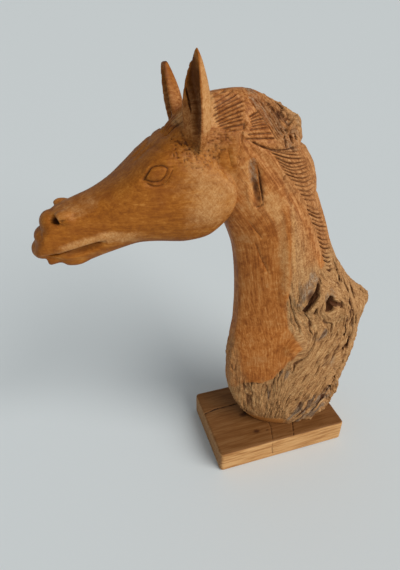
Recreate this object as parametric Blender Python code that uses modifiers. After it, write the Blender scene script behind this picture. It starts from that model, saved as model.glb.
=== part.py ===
"""A horse head carved from one driftwood log, standing on a rectangular wooden board.

The horse looks along -X, and its left side is at -Y. X and Z lie in the plane of its
profile. The origin is the centre of the board's underside.
"""

import math

import bmesh
import bpy
import numpy as np
from mathutils import Matrix, Vector
from mathutils.bvhtree import BVHTree

MM = 0.001

# The board.
BOARD_LENGTH = 220 * MM
BOARD_DEPTH = 136 * MM
BOARD_THICKNESS = 40 * MM
BOARD_CORNER = 6 * MM
BOARD_ROUNDING = 3 * MM
BEVEL_STEPS = 3
SQUARE_EDGE_DEG = 60

# The log stands on the board with a hair of air between the two solids.
REST_GAP = 0.3 * MM
FOOT_LEVEL = BOARD_THICKNESS + REST_GAP

# How finely the blank is worked, and how many triangles the finished log has.
BLANK_VOXEL = 1.8 * MM
LOG_TRIANGLES = 9300
SANDING_PASSES = 4
SECTIONS_PER_RIB = 6
RING_POINTS = 64
SHARP_EDGE_DEG = 40

# A rib is a slice across the body, in millimetres: its front and back point in the
# profile, its half width, how far the widest place is moved towards the front point,
# and the squareness of its front and back half (2 is an ellipse, 1 a wedge).
NECK_RIBS = (
    ((-26, 30), (108, 30), 41, 0.0, 1.7, 2.1),
    ((-46, 48), (116, 46), 47, 0.0, 1.6, 2.1),
    ((-68, 78), (123, 80), 52, -0.05, 1.5, 2.2),
    ((-82, 120), (127, 125), 54, -0.1, 1.5, 2.2),
    ((-86, 175), (133, 180), 54, -0.1, 1.5, 2.3),
    ((-82, 218), (137, 222), 52, -0.05, 1.5, 2.2),
    ((-79, 243), (146.5, 256), 50, -0.05, 1.5, 2.0),
    ((-78, 250), (140, 264), 49.5, -0.03, 1.5, 2.0),
    ((-77, 264), (121, 278), 48, 0.0, 1.5, 2.1),
    ((-76, 290), (95, 308), 46, 0.0, 1.5, 2.2),
    ((-77, 328), (67, 352), 44, 0.0, 1.5, 2.1),
    ((-82, 368), (50, 397), 42, 0.0, 1.5, 2.1),
    ((-92, 398), (33, 438), 41, 0.05, 1.6, 2.1),
    ((-98, 414), (14, 475), 40, 0.1, 1.9, 2.2),
    ((-104, 428), (1, 503), 39, 0.1, 2.2, 2.3),
    ((-107, 436), (-8, 527), 38.5, 0.1, 2.2, 2.4),
    ((-111, 442), (-34, 544), 38, 0.1, 2.2, 2.4),
    ((-117, 449), (-66, 559), 37, 0.1, 2.2, 2.3),
    ((-124, 456), (-98, 560), 35, 0.1, 2.2, 2.3),
    ((-136, 466), (-126, 554), 34, 0.0, 2.2, 2.3),
    ((-145, 474), (-145, 539), 32, 0.0, 2.2, 2.4),
    ((-153, 478), (-158, 528), 29, 0.0, 2.2, 2.2),
    ((-160, 482), (-169, 513), 25, 0.0, 2.2, 2.2),
)
HEAD_RIBS = (
    ((-93, 468), (-93, 440), 42, 0.0, 3.0, 3.0),
    ((-97, 480), (-97, 427), 44, 0.0, 3.0, 3.0),
    ((-106, 492), (-106, 413), 45.5, 0.0, 2.8, 2.8),
    ((-118, 505), (-118, 402), 46.5, 0.0, 2.8, 2.7),
    ((-132, 517), (-130, 397), 46.5, 0.0, 3.0, 2.6),
    ((-148, 524), (-147, 395), 46, 0.05, 3.2, 2.6),
    ((-166, 518), (-162, 396), 45, 0.1, 3.4, 2.5),
    ((-186, 503), (-182, 399), 43, 0.15, 3.4, 2.5),
    ((-206, 486), (-203, 400), 40, 0.15, 3.2, 2.4),
    ((-226, 472), (-223, 396), 36, 0.1, 2.9, 2.4),
    ((-246, 463), (-244, 390), 32, 0.1, 2.7, 2.4),
    ((-266, 458), (-264, 384), 29, 0.1, 2.6, 2.4),
    ((-281, 453), (-280, 383), 27, 0.05, 2.5, 2.3),
    ((-291, 448), (-290, 389), 26, 0.0, 2.6, 2.3),
    ((-299, 440), (-300, 397), 25, 0.0, 2.6, 2.6),
    ((-306, 429), (-307, 399), 23.5, 0.0, 2.5, 2.6),
    ((-312, 418), (-313, 399), 20, 0.0, 2.4, 2.6),
    ((-317, 409), (-317, 401), 15, 0.0, 2.2, 2.4),
)
# The lower lip is a squared block under the mouth.
LIP_RIBS = (
    ((-306, 399), (-305, 388), 13, 0.0, 3.0, 2.6),
    ((-303, 401), (-302, 386), 16, 0.0, 3.0, 2.6),
    ((-291, 403), (-291, 388), 18, 0.0, 3.0, 2.4),
    ((-283, 404), (-283, 383), 20, 0.0, 2.8, 2.4),
    ((-268, 408), (-268, 383), 22, 0.0, 2.6, 2.4),
    ((-248, 412), (-248, 392), 20, 0.0, 2.6, 2.4),
)
# The throat and chest are planed flat along the front of the neck.
THROAT_FLAT = 0.93

# Rounded lumps on the muzzle and the crest: centre, radii, and lean in the profile plane.
LUMPS = (
    ((-276, -18, 444), (14, 9.5, 8.5), 22),
    ((-276, 18, 444), (14, 9.5, 8.5), 22),
    ((-294, 0, 435), (12.5, 20, 12), 0),
    ((-301, 0, 420), (14, 21.5, 9.5), 0),
    ((-308, 0, 404.5), (12.5, 18, 10.5), 0),
    ((-20, -4, 522), (10, 15, 8.5), 20),
)

# An ear is a leaf-shaped cup: side, foot and tip of its spine, half width, depth, how
# much of the leaf's point it has (the far ear's is broken off round), and how far it
# faces outwards, in degrees.
NEAR_EAR = (-1, (-135.5, -34, 503), (-140.5, -46, 605), 16.8, 21.5, 1.0, 20)
FAR_EAR = (1, (-135.5, 33, 498), (-151.5, 38, 584), 17.0, 18.5, 0.92, 2)
EAR_STATIONS = 16
EAR_ARC_POINTS = 20
EAR_FORWARD = 0.35
# Across an ear, from 0 at its inner rim to 2 at its outer rim, come a lobe that falls a
# little, the cup's floor, which gets deeper, and a steep wall up to the outer lip. Depths
# are shares of the ear's depth, and heights shares of its height. The lobe's width is
# given by height, and it fills the cup at the bottom. The wood stays this thick, in mm.
EAR_LIP = 0.14
EAR_LOBE_HEIGHTS = (0.04, 0.10, 0.20, 0.30, 0.44, 0.60, 0.67)
EAR_LOBE_WIDTHS = (1.80, 1.25, 0.90, 0.72, 0.66, 0.36, 0.14)
EAR_LOBE_FALL = 0.30
EAR_FLOOR = (0.58, 0.78)
EAR_WALL = 0.24
EAR_CUP_START = 0.03
EAR_END_FILL = 0.2
EAR_WOOD = 3.4

# Carving strokes on the profile: points in millimetres, half width, depth (negative where
# the wood stands up), and its ends: "full", "fade" at both, "taper" at the far one or "lens".
FACE_STROKES = (
    (((-186, 491), (-175, 493)), 12, -2.5, "full"),
    (((-194, 487), (-188, 495), (-179, 499), (-171, 497), (-166, 495)), 2.2, 2.4, "full"),
    (((-194, 487), (-187, 483), (-178, 485), (-171, 490), (-166, 495)), 2.2, 2.4, "full"),
    (((-204, 497), (-186, 508), (-164, 513), (-150, 512)), 5.0, 1.5, "fade"),
    (((-298, 409), (-282, 413), (-266, 417), (-250, 422), (-236, 425)), 6.5, -1.8, "fade"),
    (((-309, 401), (-291, 404.5), (-275, 408), (-259, 412), (-243, 416)), 3.4, 5.0, "fade"),
    (((-284, 407), (-268, 410), (-256, 413), (-244, 416)), 6.0, 8.0, "lens"),
    (((-290, 443), (-287.5, 442)), 5.6, 9.0, "full"),
    (((-284, 444), (-276, 447), (-269, 449), (-260, 451)), 2.6, 2.4, "taper"),
    (((-302, 430), (-286, 433)), 3.0, 1.5, "taper"),
)
NEAR_LOG_STROKES = (
    (((-74, 494), (-75, 482), (-72, 469)), 5.0, 1.8, "fade"),
    (((-72, 488), (-68, 472), (-65, 456), (-61, 441)), 5.0, 8.0, "lens"),
    (((-26, 443), (-18, 404), (-15, 363), (-13, 317), (-12, 283)), 15, -2.5, "fade"),
    (((-2, 470), (24, 430), (40, 385), (50, 345)), 12, 2.0, "fade"),
    (((22, 296), (45, 288), (74, 274)), 32, -9.0, "full"),
    (((36, 303), (38, 288), (39, 275)), 3.6, -3.0, "fade"),
    (((20, 256), (31, 264), (44, 267), (58, 266), (71, 274)), 3.6, -3.0, "fade"),
    (((32, 323), (28, 311), (23, 299), (19, 288), (13, 275)), 5.0, 12.0, "lens"),
    (((26, 321), (21, 309), (16, 297), (11, 285)), 8.0, 6.0, "lens"),
    (((49, 290), (50, 277)), 7.5, 12.0, "full"),
    (((53, 284), (62, 278), (71, 273)), 5.5, 8.0, "taper"),
    (((58, 247), (51, 232), (40, 213)), 6.0, 3.0, "fade"),
    (((4, 212), (12, 215)), 16, -3.5, "full"),
    (((-60, 95), (-20, 140), (10, 175)), 14, 2.5, "fade"),
    (((88, 118), (74, 94), (62, 80), (53, 62)), 4.0, 5.0, "fade"),
    (((101, 168), (92, 140), (84, 120)), 4.0, 4.0, "fade"),
    (((60, 150), (44, 118), (30, 92)), 5.0, 3.0, "fade"),
    (((-31, 515), (-24, 522), (-14, 529)), 3.6, -4.0, "fade"),
    (((-33, 512), (-26, 516), (-16, 521)), 3.0, 2.5, "fade"),
)
FAR_LOG_STROKES = (
    (((-20, 420), (-12, 360), (-4, 300)), 15, -2.5, "fade"),
    (((30, 255), (62, 236)), 26, -6.0, "full"),
    (((38, 250), (56, 240)), 8, 13.0, "full"),
    (((92, 238), (94, 190), (84, 140)), 4, 6.0, "fade"),
    (((20, 170), (34, 140), (30, 110)), 6, 3.5, "fade"),
)
BACK_CRACKS = (
    (((53, 357), (62, 338), (70, 318), (78, 301)), 2.8, 5.0, "fade"),
    (((82, 309), (84, 298), (86, 286)), 3.0, 8.0, "fade"),
    (((99, 296), (102, 284), (105, 272)), 2.8, 7.0, "fade"),
    (((108, 246), (111, 228), (113, 212), (115, 194)), 2.8, 7.0, "fade"),
)
# Strokes over the crest of the neck run from side to side, through points on the body.
CREST_STROKES = (
    (((-13, -24, 520), (-11, -12, 526), (-10, 0, 528), (-12, 12, 526)), 5.0, -2.5, "fade"),
    (((-10, -28, 502), (-4, -15, 499), (-2, 0, 498), (-4, 15, 499)), 7.0, 3.5, "fade"),
    (((-38, -4, 549), (-30, -14, 541)), 5, 2.0, "fade"),
    (((30, -24, 437), (33, -8, 440), (33, 8, 440), (30, 24, 437)), 5, 2.0, "fade"),
)
STROKE_STEPS = 6
# How a stroke's cut rises at its sides, over what share of its length it fades out, how
# weak its ends still are, what share of its strength a tapering one loses, how close to
# its ends a lens is cut off, and the height that strokes from above start at.
STROKE_SIDE_POWER = 1.5
FADE_SHARE = 0.2
FADED_STRENGTH = 0.2
TAPER_LOSS = 0.7
LENS_END = 0.02
TOP_REACH = 1.0

# The mane is carved in fans of grooves that run through three guide lines, from the
# first to the last: the guides, how many grooves, half width and depth.
MANE_FANS = (
    (((-117, 555), (-120, 547), (-121, 541), (-121, 536), (-119, 531), (-110, 527), (-99, 523)),
     ((-107, 559), (-106, 554), (-102, 550), (-99, 545), (-98, 539), (-97, 531), (-90, 524)),
     ((-97, 560), (-84, 560), (-78, 554), (-82, 546), (-86, 539), (-86, 531), (-82, 524)),
     7, 3.0, 3.2),
    (((-78, 536), (-78, 529), (-80, 525), (-84, 518)),
     ((-70, 539), (-67, 530), (-67, 526), (-68, 516)),
     ((-64, 541), (-57, 531), (-54, 526), (-40, 513)), 5, 3.0, 3.2),
    (((-79, 514), (-57, 500), (-44, 489), (-37, 475), (-29, 466), (-13, 451), (-5, 437)),
     ((-51, 502), (-39, 493), (-24, 481), (-20, 474), (-11, 459), (-2, 446), (6, 432)),
     ((-6, 501), (-4, 497), (7, 479), (16, 471), (22, 454), (19, 445), (25, 427)), 8, 3.0, 3.2),
    (((-3, 429), (8, 418), (13, 403), (20, 384), (27, 366), (32, 348), (38, 337)),
     ((6, 419), (16, 409), (24, 391), (29, 374), (35, 357), (40, 340), (45, 331)),
     ((23, 412), (27, 405), (35, 384), (41, 366), (45, 350), (50, 335), (53, 326)), 11, 2.8, 2.8),
)
# The forelock's locks come down between the ears, given from above.
FORELOCK_FAN = (
    ((-143, -17), (-143, 14)), ((-153, -14), (-153, 11)), ((-167, -9), (-167, 7)), 3, 2.8, 2.4)
GUIDE_STEPS = 24


def remove_everything():
    for old in list(bpy.data.objects):
        bpy.data.objects.remove(old, do_unlink=True)


def smooth_rows(rows, steps):
    """Rows of numbers with Catmull-Rom rows between them, steps for each gap."""
    rows = np.asarray(rows, float)
    padded = np.vstack([2 * rows[0] - rows[1], rows, 2 * rows[-1] - rows[-2]])
    made = []
    for first in range(len(rows) - 1):
        before, start, end, after = padded[first:first + 4]
        for step in range(steps):
            t = step / steps
            made.append(
                start
                + 0.5 * t * (end - before)
                + t * t * (before - 2.5 * start + 2 * end - 0.5 * after)
                + t * t * t * 0.5 * (after - before + 3 * (start - end))
            )
    made.append(rows[-1])
    return np.array(made)


def rib_ring(rib, flat=1.0):
    """The closed ring of points of one rib, planed off beyond flat of its front half."""
    front_x, front_z, back_x, back_z, half_width, widest, front_square, back_square = rib
    ring = []
    for index in range(RING_POINTS):
        turn = 2 * math.pi * index / RING_POINTS
        power = 2 / (front_square if math.cos(turn) > 0 else back_square)
        along = math.copysign(abs(math.cos(turn)) ** power, math.cos(turn))
        across = math.copysign(abs(math.sin(turn)) ** power, math.sin(turn))
        along = min(along + widest * (1 - along * along), flat)
        x = (front_x + back_x) / 2 + along * (front_x - back_x) / 2
        z = (front_z + back_z) / 2 + along * (front_z - back_z) / 2
        ring.append(Vector((x, across * half_width, z)) * MM)
    return ring


def add_loft(solid, rings):
    """Adds a closed skin over the rings to a bmesh."""
    rows = [[solid.verts.new(point) for point in ring] for ring in rings]
    count = len(rows[0])
    for lower, upper in zip(rows, rows[1:]):
        for index in range(count):
            following = (index + 1) % count
            solid.faces.new((lower[index], lower[following], upper[following], upper[index]))
    solid.faces.new(list(reversed(rows[0])))
    solid.faces.new(rows[-1])


def add_ribbed_body(solid, ribs, flat=1.0):
    rows = smooth_rows([(*rib[0], *rib[1], *rib[2:]) for rib in ribs], SECTIONS_PER_RIB)
    add_loft(solid, [rib_ring(row, flat) for row in rows])


def add_lump(solid, centre, radii, lean_deg=0.0):
    """Adds an egg-shaped lump; lean_deg turns it in the profile plane."""
    place = (
        Matrix.Translation(Vector(centre) * MM)
        @ Matrix.Rotation(math.radians(lean_deg), 4, "Y")
        @ Matrix.Diagonal((*[radius * MM for radius in radii], 1))
    )
    bmesh.ops.create_icosphere(solid, subdivisions=3, radius=1, matrix=place)


def leaf_outline(t):
    """Half width of an ear along its spine, 1 at the widest."""
    return max(0.06, math.sin(math.pi * min(1.0, t) ** 0.8) ** 0.75)


def ear_lobe_width(t):
    return np.interp(t, EAR_LOBE_HEIGHTS, EAR_LOBE_WIDTHS)


def ear_cup_depth(place, t):
    """How deep the cup is, as a share of the ear's depth, at a place from 0 to 2 across it."""
    lobe = ear_lobe_width(t)
    shallow, deep = EAR_FLOOR
    floor = shallow + (deep - shallow) * place / 2
    if place <= lobe:
        floor = EAR_LOBE_FALL * place
    return floor * min(1.0, max(0.0, 2 - EAR_LIP - place) / EAR_WALL)


def ear_axes(side, foot, tip, facing_deg):
    """The ear's foot, tip, the way it faces and the way across it to its outer rim."""
    foot = Vector(foot) * MM
    tip = Vector(tip) * MM
    spine = (tip - foot).normalized()
    turn = math.radians(facing_deg)
    facing = Vector((-math.cos(turn), side * math.sin(turn), 0))
    facing = (facing - spine * facing.dot(spine)).normalized()
    return foot, tip, facing, facing.cross(spine) * side


def add_ear(solid, side, foot, tip, half_width, depth, point, facing_deg):
    """Adds one ear; side is -1 for the left, near ear and 1 for the right one."""
    foot, tip, facing, outwards = ear_axes(side, foot, tip, facing_deg)
    arc = [math.pi * (index / (EAR_ARC_POINTS - 1) - 0.5) for index in range(EAR_ARC_POINTS)]
    rings = []
    for station in range(EAR_STATIONS + 1):
        t = station / EAR_STATIONS
        width = half_width * MM * leaf_outline(t * point)
        back = depth * MM * leaf_outline(t * point)
        hollow = math.sin(math.pi * max(0, t - EAR_CUP_START)) ** 0.5
        centre = foot.lerp(tip, t) + facing * EAR_FORWARD * back
        outside = [
            centre + outwards * width * math.sin(angle) - facing * back * math.cos(angle)
            for angle in arc
        ]
        inside = []
        for angle in reversed(arc):
            across = math.sin(angle)
            deep = ear_cup_depth(across + 1, t) * hollow - (1 - hollow) * EAR_END_FILL
            deep = min(deep, max(0.0, math.cos(angle) - EAR_WOOD * MM / back))
            inside.append(centre + outwards * width * 0.985 * across - facing * back * deep)
        rings.append(outside + inside)
    add_loft(solid, rings)


def wood(name, colour, roughness):
    made = bpy.data.materials.new(name)
    made.use_nodes = True
    shader = made.node_tree.nodes["Principled BSDF"]
    shader.inputs["Base Color"].default_value = (*colour, 1)
    shader.inputs["Roughness"].default_value = roughness
    shader.inputs["Metallic"].default_value = 0.0
    return made


def collection(name):
    made = bpy.data.collections.new(name)
    bpy.context.scene.collection.children.link(made)
    return made


def new_object(name, mesh, home):
    made = bpy.data.objects.new(name, mesh)
    home.objects.link(made)
    return made


def move_to(thing, home):
    for owner in list(thing.users_collection):
        owner.objects.unlink(thing)
    home.objects.link(thing)


def evaluated_mesh(thing):
    """The object's mesh with its modifiers worked in."""
    graph = bpy.context.evaluated_depsgraph_get()
    return bpy.data.meshes.new_from_object(thing.evaluated_get(graph))


def log_blank(home):
    """The uncarved body: neck, head and ears in one skin."""
    solid = bmesh.new()
    add_ribbed_body(solid, NECK_RIBS, THROAT_FLAT)
    add_ribbed_body(solid, HEAD_RIBS)
    add_ribbed_body(solid, LIP_RIBS)
    for centre, radii, lean in LUMPS:
        add_lump(solid, centre, radii, lean)
    add_ear(solid, *NEAR_EAR)
    add_ear(solid, *FAR_EAR)
    mesh = bpy.data.meshes.new("horse_head")
    bmesh.ops.recalc_face_normals(solid, faces=solid.faces)
    solid.to_mesh(mesh)
    solid.free()
    return new_object("horse_head", mesh, home)


def fan_strokes(start_guide, middle_guide, end_guide, count, half_width, depth):
    """The grooves of one fan, evenly spread over its guide lines."""
    guides = [smooth_rows(guide, GUIDE_STEPS) for guide in (start_guide, middle_guide, end_guide)]
    strokes = []
    for share in np.linspace(0, 1, count):
        places = [guide[round(share * (len(guide) - 1))] for guide in guides]
        strokes.append((places, half_width, depth, "fade"))
    return strokes


def laid_stroke(tree, points, side):
    """A stroke's points, smoothed and laid on the body, each with the skin's normal there.

    The points are in the profile, on its side -1 or 1, or with side 0 seen from above.
    Points with three numbers are on the body already."""
    laid = []
    for place in smooth_rows(points, STROKE_STEPS) * MM:
        if len(place) == 3:
            found = tree.find_nearest(Vector(place))
        elif side:
            start = Vector((place[0], side * BOARD_LENGTH, place[1]))
            found = tree.ray_cast(start, Vector((0, -side, 0)))
        else:
            found = tree.ray_cast(Vector((*place, TOP_REACH)), Vector((0, 0, -1)))
        if found[0] is None:
            found = tree.find_nearest(Vector((place[0], side * BOARD_CORNER, place[1])))
        laid.append((*found[0], *found[1]))
    return np.array(laid)


def stroke_share(points, line, half_width, ends):
    """Which points a stroke along the line works on, how strongly (0 to 1), and the way out."""
    reach = half_width * MM
    spots, outwards = line[:, :3], line[:, 3:]
    near = np.flatnonzero(
        np.all((points > spots.min(0) - reach) & (points < spots.max(0) + reach), axis=1)
    )
    chosen = points[near]
    gap = np.full(len(chosen), np.inf)
    along = np.zeros(len(chosen))
    way = np.zeros((len(chosen), 3))
    for index, (start, end) in enumerate(zip(spots, spots[1:])):
        step = end - start
        part = np.clip((chosen - start) @ step / max(step @ step, 1e-12), 0, 1)
        distance = np.linalg.norm(chosen - start - part[:, None] * step, axis=1)
        closer = distance < gap
        gap[closer] = distance[closer]
        along[closer] = (index + part[closer]) / (len(line) - 1)
        way[closer] = (outwards[index] + part[:, None] * (outwards[index + 1] - outwards[index]))[closer]
    strength = {
        "full": np.ones(len(chosen)),
        "fade": np.clip(np.minimum(along, 1 - along) / FADE_SHARE, FADED_STRENGTH, 1),
        "taper": 1 - TAPER_LOSS * along,
        "lens": np.sin(math.pi * np.clip(along, LENS_END, 1 - LENS_END)) ** 0.5,
    }[ends]
    width = reach * (1 + strength) / 2
    return near, strength * np.clip(1 - (gap / width) ** 2, 0, 1) ** STROKE_SIDE_POWER, way


def carve(horse, strokes):
    """Works the strokes into the skin: each is (side, points, half width, depth, ends)."""
    mesh = horse.data
    points = np.empty(len(mesh.vertices) * 3)
    mesh.vertices.foreach_get("co", points)
    points = points.reshape(-1, 3)
    normals = np.array([vertex.normal for vertex in mesh.vertices])
    tree = BVHTree.FromPolygons(
        [tuple(point) for point in points], [tuple(face.vertices) for face in mesh.polygons]
    )
    raised = np.zeros(len(points))
    sunk = np.zeros(len(points))
    way = np.zeros((len(points), 3))
    for side, line, half_width, depth, ends in strokes:
        near, share, outwards = stroke_share(points, laid_stroke(tree, line, side), half_width, ends)
        push = share * depth * MM
        raised[near] = np.minimum(raised[near], push)
        deeper = push > sunk[near]
        sunk[near[deeper]] = push[deeper]
        way[near[deeper]] = outwards[deeper]
    points = points - normals * raised[:, None] - way * sunk[:, None]
    mesh.vertices.foreach_set("co", points.ravel())
    mesh.update()


def all_strokes():
    """Every stroke with the side that it is carved on; 0 is from above."""
    both_sides = list(FACE_STROKES) + list(BACK_CRACKS)
    for fan in MANE_FANS:
        both_sides += fan_strokes(*fan)
    strokes = [(side, *stroke) for stroke in both_sides for side in (-1, 1)]
    strokes += [(-1, *stroke) for stroke in NEAR_LOG_STROKES]
    strokes += [(1, *stroke) for stroke in FAR_LOG_STROKES]
    strokes += [(0, *stroke) for stroke in (*CREST_STROKES, *fan_strokes(*FORELOCK_FAN))]
    return strokes


def make_horse_head(home):
    horse = log_blank(home)
    skin = horse.modifiers.new("one_skin", "REMESH")
    skin.mode = "VOXEL"
    skin.voxel_size = BLANK_VOXEL
    skin.adaptivity = 0.0
    sanded = horse.modifiers.new("sanded", "SMOOTH")
    sanded.iterations = SANDING_PASSES
    horse.data = evaluated_mesh(horse)
    horse.modifiers.clear()
    carve(horse, all_strokes())
    thin = horse.modifiers.new("fewer_faces", "DECIMATE")
    thin.ratio = LOG_TRIANGLES / (2 * len(horse.data.polygons))
    horse.data = evaluated_mesh(horse)
    horse.modifiers.clear()
    horse.data.shade_smooth()
    horse.data.set_sharp_from_angle(angle=math.radians(SHARP_EDGE_DEG))
    horse.data.materials.append(wood("oiled_driftwood", (0.40, 0.19, 0.06), 0.45))
    return horse


def cut_foot(horse, cutters):
    """Cuts the log's underside flat, a hair above the board."""
    bpy.ops.mesh.primitive_cube_add(size=1, location=(0, 0, FOOT_LEVEL - BOARD_THICKNESS / 2))
    cutter = bpy.context.active_object
    cutter.name = "foot_cutter"
    cutter.scale = (2 * BOARD_LENGTH, 2 * BOARD_DEPTH, BOARD_THICKNESS)
    move_to(cutter, cutters)
    cutter.hide_render = True
    cutter.display_type = "WIRE"
    cut = horse.modifiers.new("flat_foot", "BOOLEAN")
    cut.operation = "DIFFERENCE"
    cut.object = cutter


def make_board(home):
    bpy.ops.mesh.primitive_cube_add(size=1, location=(0, 0, BOARD_THICKNESS / 2))
    board = bpy.context.active_object
    board.name = "base_board"
    move_to(board, home)
    board.data.transform(Matrix.Diagonal((BOARD_LENGTH, BOARD_DEPTH, BOARD_THICKNESS, 1)))
    solid = bmesh.new()
    solid.from_mesh(board.data)
    upright = [edge for edge in solid.edges if abs(edge.verts[0].co.z - edge.verts[1].co.z) > MM]
    bmesh.ops.bevel(
        solid, geom=upright, offset=BOARD_CORNER, segments=BEVEL_STEPS, profile=0.5, affect="EDGES"
    )
    solid.to_mesh(board.data)
    solid.free()
    rounding = board.modifiers.new("soft_edges", "BEVEL")
    rounding.width = BOARD_ROUNDING
    rounding.segments = BEVEL_STEPS
    rounding.limit_method = "ANGLE"
    rounding.angle_limit = math.radians(SQUARE_EDGE_DEG)
    board.data.shade_smooth()
    board.data.set_sharp_from_angle(angle=math.radians(SHARP_EDGE_DEG))
    board.data.materials.append(wood("board_wood", (0.36, 0.19, 0.08), 0.55))
    return board


def main():
    remove_everything()
    home = collection("driftwood_horse_head")
    cutters = collection("cutters")
    horse = make_horse_head(home)
    cut_foot(horse, cutters)
    make_board(home)


main()
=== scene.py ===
"""The carved driftwood horse head on its board: its fine carving, its wood and the studio round it.

The horse looks along -X, its left side is at -Y, and X and Z lie in the plane of its
profile. Sizes in the tables are millimetres in that plane.
"""

import itertools
import math

import bmesh
import bpy
import numpy as np
from mathutils import Matrix, Vector
from mathutils.bvhtree import BVHTree
from mathutils.kdtree import KDTree


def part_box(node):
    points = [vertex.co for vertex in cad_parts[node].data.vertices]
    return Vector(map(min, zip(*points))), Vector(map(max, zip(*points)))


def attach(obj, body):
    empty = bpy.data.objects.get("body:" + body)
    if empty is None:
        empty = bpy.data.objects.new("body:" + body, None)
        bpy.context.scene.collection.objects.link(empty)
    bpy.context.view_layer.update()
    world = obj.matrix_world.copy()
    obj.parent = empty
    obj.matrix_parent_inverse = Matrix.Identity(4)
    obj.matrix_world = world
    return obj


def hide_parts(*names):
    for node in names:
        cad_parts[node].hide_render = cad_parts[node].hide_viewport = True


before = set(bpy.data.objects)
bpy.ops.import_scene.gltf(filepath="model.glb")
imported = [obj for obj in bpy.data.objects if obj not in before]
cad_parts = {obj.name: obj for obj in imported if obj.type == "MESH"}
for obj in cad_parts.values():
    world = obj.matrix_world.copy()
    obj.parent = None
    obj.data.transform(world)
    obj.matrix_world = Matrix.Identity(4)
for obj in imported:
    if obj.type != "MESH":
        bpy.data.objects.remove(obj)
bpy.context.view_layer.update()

MM = 0.001
FOOT_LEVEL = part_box("horse_head")[0].z
BOARD_LOW, BOARD_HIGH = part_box("base_board")

# The blank is roughed out at one fineness and carved at a finer one.
ROUGH_VOXEL = 1.3 * MM
FINE_VOXEL = 0.8 * MM
HORSE_TRIANGLES = 194000
SANDING_PASSES = 4
FINE_PASSES = 1
SECTIONS_PER_RIB = 6
RING_POINTS = 64
# Strokes are laid on the body from this far out, at its side and above it; what misses
# the body goes to the skin nearest to a place this far off its middle.
SIDE_REACH = 0.25
TOP_REACH = 1.0
NEAR_MIDDLE = 6 * MM
# What was cut in the rough is found again within this distance of the finer skin.
CARRY_REACH = 2 * MM

# A rib is a slice across the body: its front and back point in the profile, its half
# width, how far the widest place is moved towards the front point, and the squareness
# of its front and back half (2 is an ellipse, 1 a wedge).
NECK_RIBS = (
    ((-26, 30), (108, 30), 41, 0.0, 1.7, 2.1),
    ((-46, 48), (116, 46), 47, 0.0, 1.6, 2.1),
    ((-68, 78), (123, 80), 52, -0.05, 1.5, 2.2),
    ((-82, 120), (127, 125), 54, -0.1, 1.5, 2.2),
    ((-86, 175), (133, 180), 54, -0.1, 1.5, 2.3),
    ((-82, 218), (137, 222), 52, -0.05, 1.5, 2.2),
    ((-79, 243), (146.5, 256), 50, -0.05, 1.5, 2.0),
    ((-78, 250), (140, 264), 49.5, -0.03, 1.5, 2.0),
    ((-77, 264), (121, 278), 48, 0.0, 1.5, 2.1),
    ((-76, 290), (95, 308), 46, 0.0, 1.5, 2.2),
    ((-77, 328), (67, 352), 44, 0.0, 1.5, 2.1),
    ((-82, 368), (48, 397), 42, 0.0, 1.5, 2.1),
    ((-92, 398), (30, 438), 41, 0.05, 1.6, 2.1),
    ((-95, 406), (25.5, 458), 40.5, 0.07, 1.75, 2.15),
    ((-98, 414), (18, 477), 40, 0.1, 1.9, 2.2),
    ((-104, 428), (1, 503), 39, 0.1, 2.2, 2.3),
    ((-107, 436), (-8, 527), 38.5, 0.1, 2.2, 2.4),
    ((-111, 442), (-34, 544), 38, 0.1, 2.2, 2.4),
    ((-117, 449), (-66, 559), 37, 0.1, 2.2, 2.3),
    ((-124, 456), (-98, 560), 35, 0.1, 2.2, 2.3),
    ((-136, 466), (-126, 554), 34, 0.0, 2.2, 2.3),
    ((-145, 474), (-145, 539), 32, 0.0, 2.2, 2.4),
    ((-153, 478), (-158, 528), 29, 0.0, 2.2, 2.2),
    ((-160, 482), (-169, 513), 25, 0.0, 2.2, 2.2),
)
HEAD_RIBS = (
    ((-93, 468), (-93, 440), 42, 0.0, 3.0, 3.0),
    ((-97, 480), (-97, 427), 44, 0.0, 3.0, 3.0),
    ((-106, 492), (-106, 413), 45.5, 0.0, 2.8, 2.8),
    ((-118, 505), (-118, 402), 46.5, 0.0, 2.8, 2.7),
    ((-132, 517), (-130, 397), 46.5, 0.0, 3.0, 2.6),
    ((-148, 525), (-147, 395), 46, 0.05, 3.2, 2.6),
    ((-166, 519), (-162, 396), 45, 0.1, 3.4, 2.5),
    ((-186, 505), (-182, 399), 43, 0.15, 3.4, 2.5),
    ((-206, 488.5), (-203, 400), 40, 0.15, 3.2, 2.4),
    ((-226, 474.5), (-223, 396), 36, 0.1, 2.9, 2.4),
    ((-246, 464.5), (-244, 390), 32, 0.1, 2.7, 2.4),
    ((-266, 458), (-264, 384), 29, 0.1, 2.6, 2.4),
    ((-281, 453), (-280, 383), 27, 0.05, 2.5, 2.3),
    ((-291, 448), (-290, 389), 26, 0.0, 2.6, 2.3),
    ((-299, 440), (-300, 397), 25, 0.0, 2.6, 2.6),
    ((-306, 429), (-307, 399), 23.5, 0.0, 2.5, 2.6),
    ((-312, 418), (-313, 399), 20, 0.0, 2.4, 2.6),
    ((-317, 409), (-317, 401), 15, 0.0, 2.2, 2.4),
)
# The lower lip is a squared block under the mouth.
LIP_RIBS = (
    ((-306, 399), (-305, 388), 13, 0.0, 3.0, 2.6),
    ((-303, 401), (-302, 386), 16, 0.0, 3.0, 2.6),
    ((-291, 403), (-291, 388), 18, 0.0, 3.0, 2.4),
    ((-283, 404), (-283, 383), 20, 0.0, 2.8, 2.4),
    ((-268, 408), (-268, 383), 22, 0.0, 2.6, 2.4),
    ((-248, 412), (-248, 392), 20, 0.0, 2.6, 2.4),
)
# The throat and chest are planed flat along the front of the neck.
THROAT_FLAT = 0.93

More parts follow.
